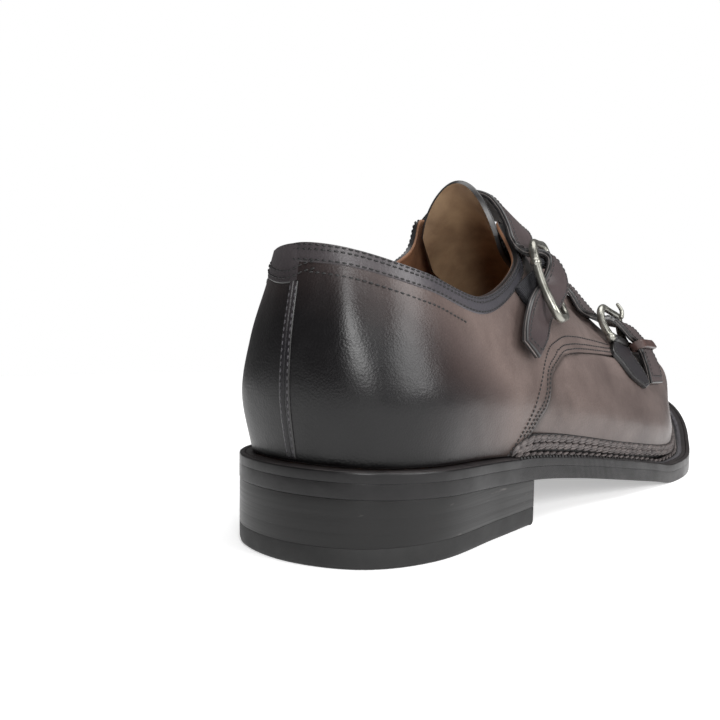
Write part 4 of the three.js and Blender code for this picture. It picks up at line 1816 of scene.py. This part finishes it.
@dataclass
class Tongue:
    """The tall tongue with its bound edge."""

    bench: Bench
    rows: Array = field(default_factory=lambda: columns_of([
        (-6.5, 69, 117.3, 15.9, 0, 17), (-6.3, 76, 110, 16.5, 1, 19.5),
        (-6, 86, 102.4, 18.5, 3, 18.5), (-5.5, 97, 96, 18.5, 2, 17),
        (-5, 108, 89, 18, 1, 15), (-4.5, 118, 81.5, 17, 0, 13),
        (-4, 128, 75, 16, 0, 11), (-4, 138, 69.5, 15, 0, 9.5)]))

    def middle(self, across: Array, along: Array) -> Array:
        """Returns points of the tongue's middle surface.

        Args:
            across: Fractions across the piece.
            along: Fractions along it.

        Returns:
            The points.
        """
        side = 2 * across - 1
        along = along + (1 - along) * 0.045 * np.abs(side) ** 8
        spine, wing = threaded(self.rows[:, :3], along), threaded(self.rows[:, 3:], along)
        spots = spine.copy()
        spots[:, 0] += side * wing[:, 0]
        spots[:, 1] -= side**2 * wing[:, 1]
        spots[:, 2] -= side**2 * wing[:, 2]
        return spots

    def out(self, across: Array, along: Array) -> Array:
        """Returns the way out of the tongue's upper face.

        Args:
            across: Fractions across the piece.
            along: Fractions along it.

        Returns:
            One direction for each place.
        """
        step = 3e-3
        right, left = np.minimum(across + step, 1), np.maximum(across - step, 0)
        down, up = np.minimum(along + step, 1), np.maximum(along - step, 0)
        wide = self.middle(right, along) - self.middle(left, along)
        return unit(np.cross(wide, self.middle(across, down) - self.middle(across, up)))

    def place(self, across: Array, along: Array, lift: Array) -> Array:
        """Returns points lifted off the tongue's middle surface."""
        return self.middle(across, along) + self.out(across, along) * lift[:, None]

    def build(self) -> None:
        """Builds the tongue and its stitches."""
        mesh = slab((44.0, 85.0), (40, 80), CUT, (1.0, -1.0), self.place)
        self.bench.present(mesh, "tongue_leather", [Finish.BAND, Finish.EDGE, Finish.TONGUE_LINING],
                           "upper_leather", ["tongue"])
        rows, count = [], 200
        for inset in (0.05, 0.10):
            tip = 0.02 + inset / 2
            along = np.concatenate([np.linspace(0.6, tip, count), np.full(count, tip),
                                    np.linspace(tip, 0.6, count)])
            across = np.concatenate([np.full(count, inset), np.linspace(inset, 1 - inset, count),
                                     np.full(count, 1 - inset)])
            spots = self.place(across, along, np.full(3 * count, 1.05))
            rows.append(Trail.evenly(spots, self.out(across, along), 2.0))
        self.bench.sewn(rows, "tongue_stitches", (1.35, 0.42, 0.36))


# Each row gives a point of the near edge and one of the far edge, in millimetres.
UPPER_STRAP = columns_of([
    (-35.2, 74, 68, -36.2, 94, 66), (-33.9, 76, 84, -35.4, 95, 80),
    (-30, 77.5, 99.5, -30.5, 96.5, 93), (-19, 78, 111, -19, 98, 104),
    (-8, 78, 114.6, -7, 98.5, 105.8), (1, 77.5, 113, 2, 98.5, 103.2),
    (7, 75.5, 108.4, 8, 97, 99.8), (13.2, 71.5, 101.2, 12.3, 93, 97.2),
    (17.6, 66.7, 95.9, 14.5, 89, 93.1), (19.7, 66.5, 93.2, 15.9, 83.4, 91.5),
    (22, 69.9, 91.1, 18.7, 83.4, 90.2), (26, 72, 91.2, 22.3, 85.8, 90.2),
    (29, 72.6, 89.7, 25, 87, 88.6), (30.4, 71, 87.2, 27, 88, 86),
    (30.3, 69.3, 84, 28.9, 88.6, 82), (29.1, 67.2, 79.8, 29.8, 87.4, 77.4),
    (30.2, 61.8, 78.2, 30.3, 81, 72.2), (32.2, 53.6, 74.3, 31.2, 71, 66.4),
    (35, 44.1, 66.3, 35.6, 59, 60.8), (36.9, 40.2, 61.3, 37.4, 49, 55.4)])
LOWER_STRAP = columns_of([
    (-37.2, 118, 52, -38.8, 138, 48), (-36, 117, 69, -36.5, 137, 62),
    (-29, 116.5, 83, -29, 137, 74.5), (-17, 117, 91.5, -17, 137.5, 82.5),
    (-5, 118, 92.5, -4, 138.5, 83.5), (4, 119, 89.5, 4.5, 139.5, 81.5),
    (12, 119.3, 83.3, 9.5, 139.5, 78.5), (17.8, 119.4, 76.9, 13.2, 140, 74.4),
    (20.8, 122.8, 70.4, 16.2, 145, 69.2), (22.4, 129.5, 67.7, 17.2, 149.5, 66.4),
    (24, 136.2, 66.7, 19.5, 153, 64.4), (26.8, 138.2, 66.8, 23.5, 154.6, 63.4),
    (29.3, 139.2, 65.7, 27, 154.2, 63.2), (31.5, 141.8, 62.8, 29.9, 158.8, 61.3),
    (33.5, 145.9, 58.9, 31.3, 163.5, 58.2), (34.6, 150.5, 56.2, 32.8, 167.5, 55),
    (36, 152.6, 52.8, 34.4, 170.2, 51.5), (39.3, 150, 47.3, 37.8, 170, 45),
    (42.3, 147.3, 39.8, 41.3, 164.5, 38.7)])
ELASTIC = columns_of([
    (27, 52.8, 78.2, 29, 58, 72.4), (25.8, 60.2, 81, 27.3, 66, 76.2),
    (25.7, 65.5, 83.2, 25.8, 73, 80.6), (27, 68.6, 85.2, 24.4, 76, 85)])
ANCHOR = columns_of([
    (31.3, 132, 57.2, 31.7, 148.4, 53.8), (34.1, 125.5, 53.4, 34.8, 147, 50.3),
    (37.2, 128, 48.8, 38.9, 146, 45.6), (40.1, 131.6, 43.6, 41.3, 145.5, 41.7),
    (42.7, 140.3, 38.5, 42.2, 145.2, 39.6)])


@dataclass
class Keeper:
    """The leather loop that holds the lower strap's end."""

    bench: Bench
    near: Array
    far: Array
    low: float = 0.828
    high: float = 0.88
    inner: float = 1.8
    thick: float = 1.6

    def build(self) -> None:
        """Builds the loop as a rounded band."""
        bend, flat = 12, 10
        section = ((0.0, 0.0), (0.0, 0.75), (0.05, 0.94), (0.14, 1.0), (0.5, 1.04), (0.86, 1.0),
                   (0.95, 0.94), (1.0, 0.75), (1.0, 0.0), (0.5, -0.02), (0.0, 0.0))
        shares = columns_of([row[0] for row in section])
        depths = columns_of([row[1] for row in section])
        angles = np.concatenate([np.linspace(math.pi / 2, -math.pi / 2, bend + 1),
                                 np.full(flat - 1, -math.pi / 2),
                                 np.linspace(-math.pi / 2, -1.5 * math.pi, bend + 1),
                                 np.full(flat - 1, math.pi / 2), [math.pi / 2]])
        down, up = np.linspace(1, 0, flat + 1)[1:-1], np.linspace(0, 1, flat + 1)[1:-1]
        shift = np.concatenate([np.ones(bend + 1), down, np.zeros(bend + 1), up, [1.0]])

        def place(i: Array, j: Array) -> Array:
            """Places points of the band.

            Args:
                i: Column numbers.
                j: Row numbers.

            Returns:
                The points.
            """
            along = self.low + (self.high - self.low) * shares[j]
            a, b = threaded(self.near, along), threaded(self.far, along)
            across = unit(b - a)
            run = threaded(self.near, along + 0.004) - threaded(self.near, along - 0.004)
            out = unit(np.cross(run, across))
            centre = a + (b - a) * shift[i][:, None]
            radius = (self.inner + self.thick * depths[j])[:, None]
            angle = angles[i][:, None]
            return centre + across * radius * np.cos(angle) + out * radius * np.sin(angle)

        mesh = woven(len(angles) - 1, len(section) - 1, place)
        self.bench.present(mesh, "keeper_band", [Finish.KEEPER], "keeper_leather", ["keeper_loop"])


# ---------------------------------------------------------------- buckles


@dataclass
class Buckle:
    """A wire frame on a hinge bar."""

    bench: Bench
    name: str
    corner: tuple[float, float, float]
    side: tuple[float, float, float]
    across: tuple[float, float, float]
    width: float
    hinge: float
    wire: float = 2.8
    bar: float = 2.0
    knob: float = 2.0
    bend: float = 5.0
    bow: tuple[float, float, float] = (-1.2, -0.9, 0.0)
    loop: tuple[float, float, float] = (4.0, 17.0, 2.0)
    loop_finish: Finish = Finish.EDGE
    loop_slot: str = "upper_leather"

    def corners(self) -> list[Array]:
        """Returns the frame's four corners."""
        corner, side = np.array(self.corner, float), np.array(self.side, float)
        across = unit(np.array(self.across, float)) * self.width
        return [corner, corner + side, corner + side + across, corner + across]

    def rounded(self, before: Array, corner: Array, after: Array) -> Array:
        """Returns points of one rounded corner.

        Args:
            before: The corner before it.
            corner: The corner.
            after: The corner after it.

        Returns:
            The points.
        """
        start = corner + unit(before - corner) * self.bend
        end = corner + unit(after - corner) * self.bend
        t = np.linspace(0, 1, 9)[:, None]
        return start * (1 - t) ** 2 + 2 * corner * t * (1 - t) + end * t**2

    def path(self) -> Array:
        """Returns the frame's middle line, whole or ending at the hinge.

        Returns:
            The points.
        """
        c = self.corners()
        if self.hinge < 1:
            bends = [self.rounded(c[k - 1], c[k], c[(k + 1) % 4]) for k in range(4)]
            return self.filled(np.concatenate([*bends, bends[0][:1]]))[:-1]
        near = c[0] + unit(c[1] - c[0]) * (np.linalg.norm(c[1] - c[0]) - self.bar / 2 - GAP)
        far = c[3] + unit(c[2] - c[3]) * (np.linalg.norm(c[2] - c[3]) - self.bar / 2 - GAP)
        return self.filled(np.concatenate([[far], self.rounded(c[2], c[3], c[0]),
                                           self.rounded(c[3], c[0], c[1]), [near]]))

    def filled(self, points: Array) -> Array:
        """Spreads points evenly along a path, under a millimetre apart."""
        far = np.append(0.0, np.cumsum(np.linalg.norm(np.diff(points, axis=0), axis=1)))
        at = np.linspace(0, far[-1], max(int(far[-1] / 0.8), 1) + 1)
        return np.stack([np.interp(at, far, row) for row in points.T], axis=1)

    def hinge_ends(self) -> tuple[Array, Array]:
        """Returns the two places where the hinge bar meets the frame."""
        c = self.corners()
        bowed = np.array(self.bow) * math.sin(self.hinge * math.pi)
        return c[0] + (c[1] - c[0]) * self.hinge + bowed, c[3] + (c[2] - c[3]) * self.hinge + bowed

    def frame(self) -> None:
        """Builds the bowed frame with a knob at each end of the hinge bar."""
        c, path = self.corners(), self.path()
        side = c[1] - c[0]
        share = np.clip((path - c[0]) @ side / side.dot(side), 0, 1)
        path = path + np.array(self.bow) * np.sin(share * math.pi)[:, None]
        beside = np.clip((path - c[0]) @ unit(np.array(self.across, float)) / self.width, 0, 1)
        radii = self.wire / 2 * (1.12 - 0.2 * np.sin(beside * math.pi))
        wire = tube(path, radii, self.hinge < 1, 18)
        near, far = self.hinge_ends()
        knobs = bmesh.new()
        turn = Vector(unit(far - near)).to_track_quat("Z", "Y").to_matrix().to_4x4()
        lengthen = Matrix.Diagonal((1.0, 1.0, 1.15, 1.0))
        for spot in (near, far):
            place = Matrix.Translation(Vector(spot) * MM) @ turn @ lengthen
            bmesh.ops.create_uvsphere(knobs, u_segments=24, v_segments=14, radius=self.knob * MM,
                                      matrix=place)
        self.bench.present(gathered([wire, knobs]), f"{self.name}_frame", [Finish.NICKEL],
                           "buckle_metal", [f"{self.name}_buckle"])

    def hinge_bar(self) -> None:
        """Builds the hinge bar."""
        near, far = self.hinge_ends()
        reach = unit(far - near) * (self.wire / 2 if self.hinge < 1 else 0.0)
        ends = self.filled(np.array([near + reach, far - reach]))
        mesh = tube(ends, np.full(len(ends), self.bar / 2), False)
        self.bench.present(mesh, f"{self.name}_bar", [Finish.NICKEL], "buckle_metal",
                           [f"{self.name}_hinge_bar"])

    def hinge_loop(self) -> None:
        """Builds the loop of leather or elastic round the hinge bar."""
        near, far = self.hinge_ends()
        start, end, radius = self.loop
        spots = self.filled(near + unit(far - near) * np.array([[start], [end]]))
        radii = np.full(len(spots), radius)
        radii[0] = radii[-1] = radius * 0.9
        self.bench.present(tube(spots, radii, False, 20), f"{self.name}_hinge_loop",
                           [self.loop_finish], self.loop_slot)

    def build(self) -> None:
        """Builds the frame, its hinge bar and the loop that holds the bar."""
        self.frame()
        self.hinge_bar()
        self.hinge_loop()


@dataclass
class Prong:
    """The lower buckle's prong."""

    bench: Bench
    points: Array = field(default_factory=lambda: columns_of([
        (28.6, 148.5, 67), (28.4, 149, 69.5), (27, 147.9, 72.2)]))

    def build(self) -> None:
        """Builds the prong as a tapering wire."""
        path = threaded(self.points, np.linspace(0, 1, 16))
        mesh = tube(path, np.linspace(1.0, 0.7, 16), False)
        self.bench.present(mesh, "prong_wire", [Finish.NICKEL], "buckle_metal", ["lower_prong"])


@dataclass
class Straps:
    """Both straps with their buckles, tabs and keeper."""

    bench: Bench

    def ribbon(self, name: str, node: str, rows: Array, **sizes: object) -> Ribbon:
        """Returns a ribbon between the two edges that the rows give."""
        return Ribbon(self.bench, name, node, rows[:, :3], rows[:, 3:], **sizes)

    def build(self) -> None:
        """Builds everything that fastens the shoe."""
        strap = {"thickness": 2.4, "crown": 0.25,
                 "finishes": (Finish.STRAP, Finish.EDGE, Finish.FLESH, Finish.RAW_EDGE)}
        upper = self.ribbon("upper_strap_leather", "upper_strap", UPPER_STRAP,
                            wide=20.0, long=150.0, **strap)
        upper.build((20, 220))
        upper.sew(1.9, 0.03, 0.985)
        lower = self.ribbon("lower_strap_leather", "lower_strap", LOWER_STRAP,
                            wide=19.0, long=140.0, **strap)
        lower.build((20, 220))
        lower.sew(1.9, 0.03, 0.98)
        elastic = self.ribbon("elastic_gusset", "elastic_tab", ELASTIC, thickness=1.6, wide=8.0,
                              long=18.0, finishes=(Finish.ELASTIC,) * 3, slot="elastic", brim=CUT,
                              face=-1.0)
        elastic.build((14, 40))
        anchor = self.ribbon("anchor_leather", "anchor_tab", ANCHOR, thickness=1.6, wide=16.0,
                             long=25.0, finishes=(Finish.TAB, Finish.EDGE, Finish.FLESH), brim=CUT)
        anchor.build((24, 40))
        anchor.sew(1.5, 0.1, 0.93)
        Keeper(self.bench, LOWER_STRAP[:, :3], LOWER_STRAP[:, 3:]).build()
        Buckle(self.bench, "upper", corner=(25.8, 66, 94.3), side=(12.5, -3, -26.4),
               across=(-0.265, 0.964, 0), width=23.9, hinge=0.27, loop=(4.0, 14.0, 1.9),
               loop_finish=Finish.ELASTIC, loop_slot="elastic").build()
        Buckle(self.bench, "lower", corner=(25.2, 133.2, 71.8), side=(6, -2.9, -12.5),
               across=(-0.05, 0.97, -0.2), width=25, hinge=1.0).build()
        Prong(self.bench).build()


# ---------------------------------------------------------------- the studio


@dataclass
class Studio:
    """Pale floor, soft lights and the camera."""

    spot: tuple[float, float, float] = (0.1642, -0.2238, 0.0768)
    right: tuple[float, float, float] = (0.8067, 0.5908, 0.0144)
    up: tuple[float, float, float] = (-0.0574, 0.0541, 0.9969)
    ahead: tuple[float, float, float] = (-0.5882, 0.8050, -0.0776)
    lens: float = 45.0
    film: float = 36.0
    glow: float = 0.13
    floor_radius: float = 0.55
    # name, place, aim, size and power of each light
    lights: tuple[tuple, ...] = (
        ("key", (0.75, -0.80, 0.55), (0.0, 0.05, 0.05), 0.45, 8.5),
        ("overhead", (0.1, 0.15, 1.2), (0.0, 0.1, 0.05), 1.1, 13.0),
        ("side", (1.3, 0.25, 0.6), (0.0, 0.10, 0.03), 0.8, 12.0))

    def camera(self) -> None:
        """Sets the camera."""
        data = bpy.data.cameras.new("camera")
        data.lens = self.lens
        data.sensor_width = self.film
        data.clip_start = 0.01
        camera = bpy.data.objects.new("camera", data)
        turn = Matrix((self.right, self.up, tuple(-x for x in self.ahead))).transposed()
        camera.matrix_world = Matrix.Translation(self.spot) @ turn.to_4x4()
        bpy.context.scene.collection.objects.link(camera)
        bpy.context.scene.camera = camera

    def light(self, name: str, spot: tuple[float, float, float], aim: tuple[float, float, float],
              size: float, power: float) -> None:
        """Hangs one soft square light.

        Args:
            name: Its name.
            spot: Where it hangs, in metres.
            aim: The place it faces.
            size: The length of its side.
            power: Its power in watts.
        """
        data = bpy.data.lights.new(name, "AREA")
        data.size = size
        data.energy = power
        lamp = bpy.data.objects.new(name, data)
        lamp.location = spot
        lamp.rotation_euler = (Vector(aim) - Vector(spot)).to_track_quat("-Z", "Y").to_euler()
        bpy.context.scene.collection.objects.link(lamp)

    def floor(self) -> None:
        """Lays the pale floor."""
        mesh = bmesh.new()
        bmesh.ops.create_circle(mesh, cap_ends=True, radius=self.floor_radius, segments=96)
        data = bpy.data.meshes.new("floor")
        mesh.to_mesh(data)
        mesh.free()
        recipe = Recipe("pale_floor")
        data.materials.append(recipe.finish(
            Base_Color=(0.80, 0.80, 0.80, 1.0), Roughness=0.9, Specular_IOR_Level=0.1,
            Emission_Color=(1.0, 1.0, 1.0, 1.0), Emission_Strength=0.43))
        floor = bpy.data.objects.new("floor", data)
        bpy.context.scene.collection.objects.link(floor)

    def backdrop(self) -> None:
        """Makes the white seen behind the shoe, dimmer where it lights the shoe."""
        world = bpy.data.worlds.new("studio")
        world.use_nodes = True
        nodes, links = world.node_tree.nodes, world.node_tree.links
        seen, glow = nodes["Background"], nodes.new("ShaderNodeBackground")
        seen.inputs["Color"].default_value = glow.inputs["Color"].default_value = (1, 1, 1, 1)
        glow.inputs["Strength"].default_value = self.glow
        share, path = nodes.new("ShaderNodeMixShader"), nodes.new("ShaderNodeLightPath")
        links.new(path.outputs["Is Camera Ray"], share.inputs[0])
        links.new(glow.outputs[0], share.inputs[1])
        links.new(seen.outputs[0], share.inputs[2])
        links.new(share.outputs[0], nodes["World Output"].inputs["Surface"])
        bpy.context.scene.world = world

    def build(self) -> None:
        """Sets out the studio."""
        bpy.context.scene.view_settings.view_transform = "Standard"
        self.backdrop()
        self.camera()
        self.floor()
        for light in self.lights:
            self.light(*light)


def main() -> None:
    """Builds the shoe round its frame."""
    logging.basicConfig(level=logging.INFO, format="%(name)s: %(message)s")
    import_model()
    bench = Bench(Palette(), Last())
    for part in (Upper(bench), Bottom(bench), Tongue(bench), Straps(bench)):
        part.build()
        LOG.info("%s done, %d pieces so far", type(part).__name__, bench.count)
    Studio().build()


if __name__ == "__main__":
    main()
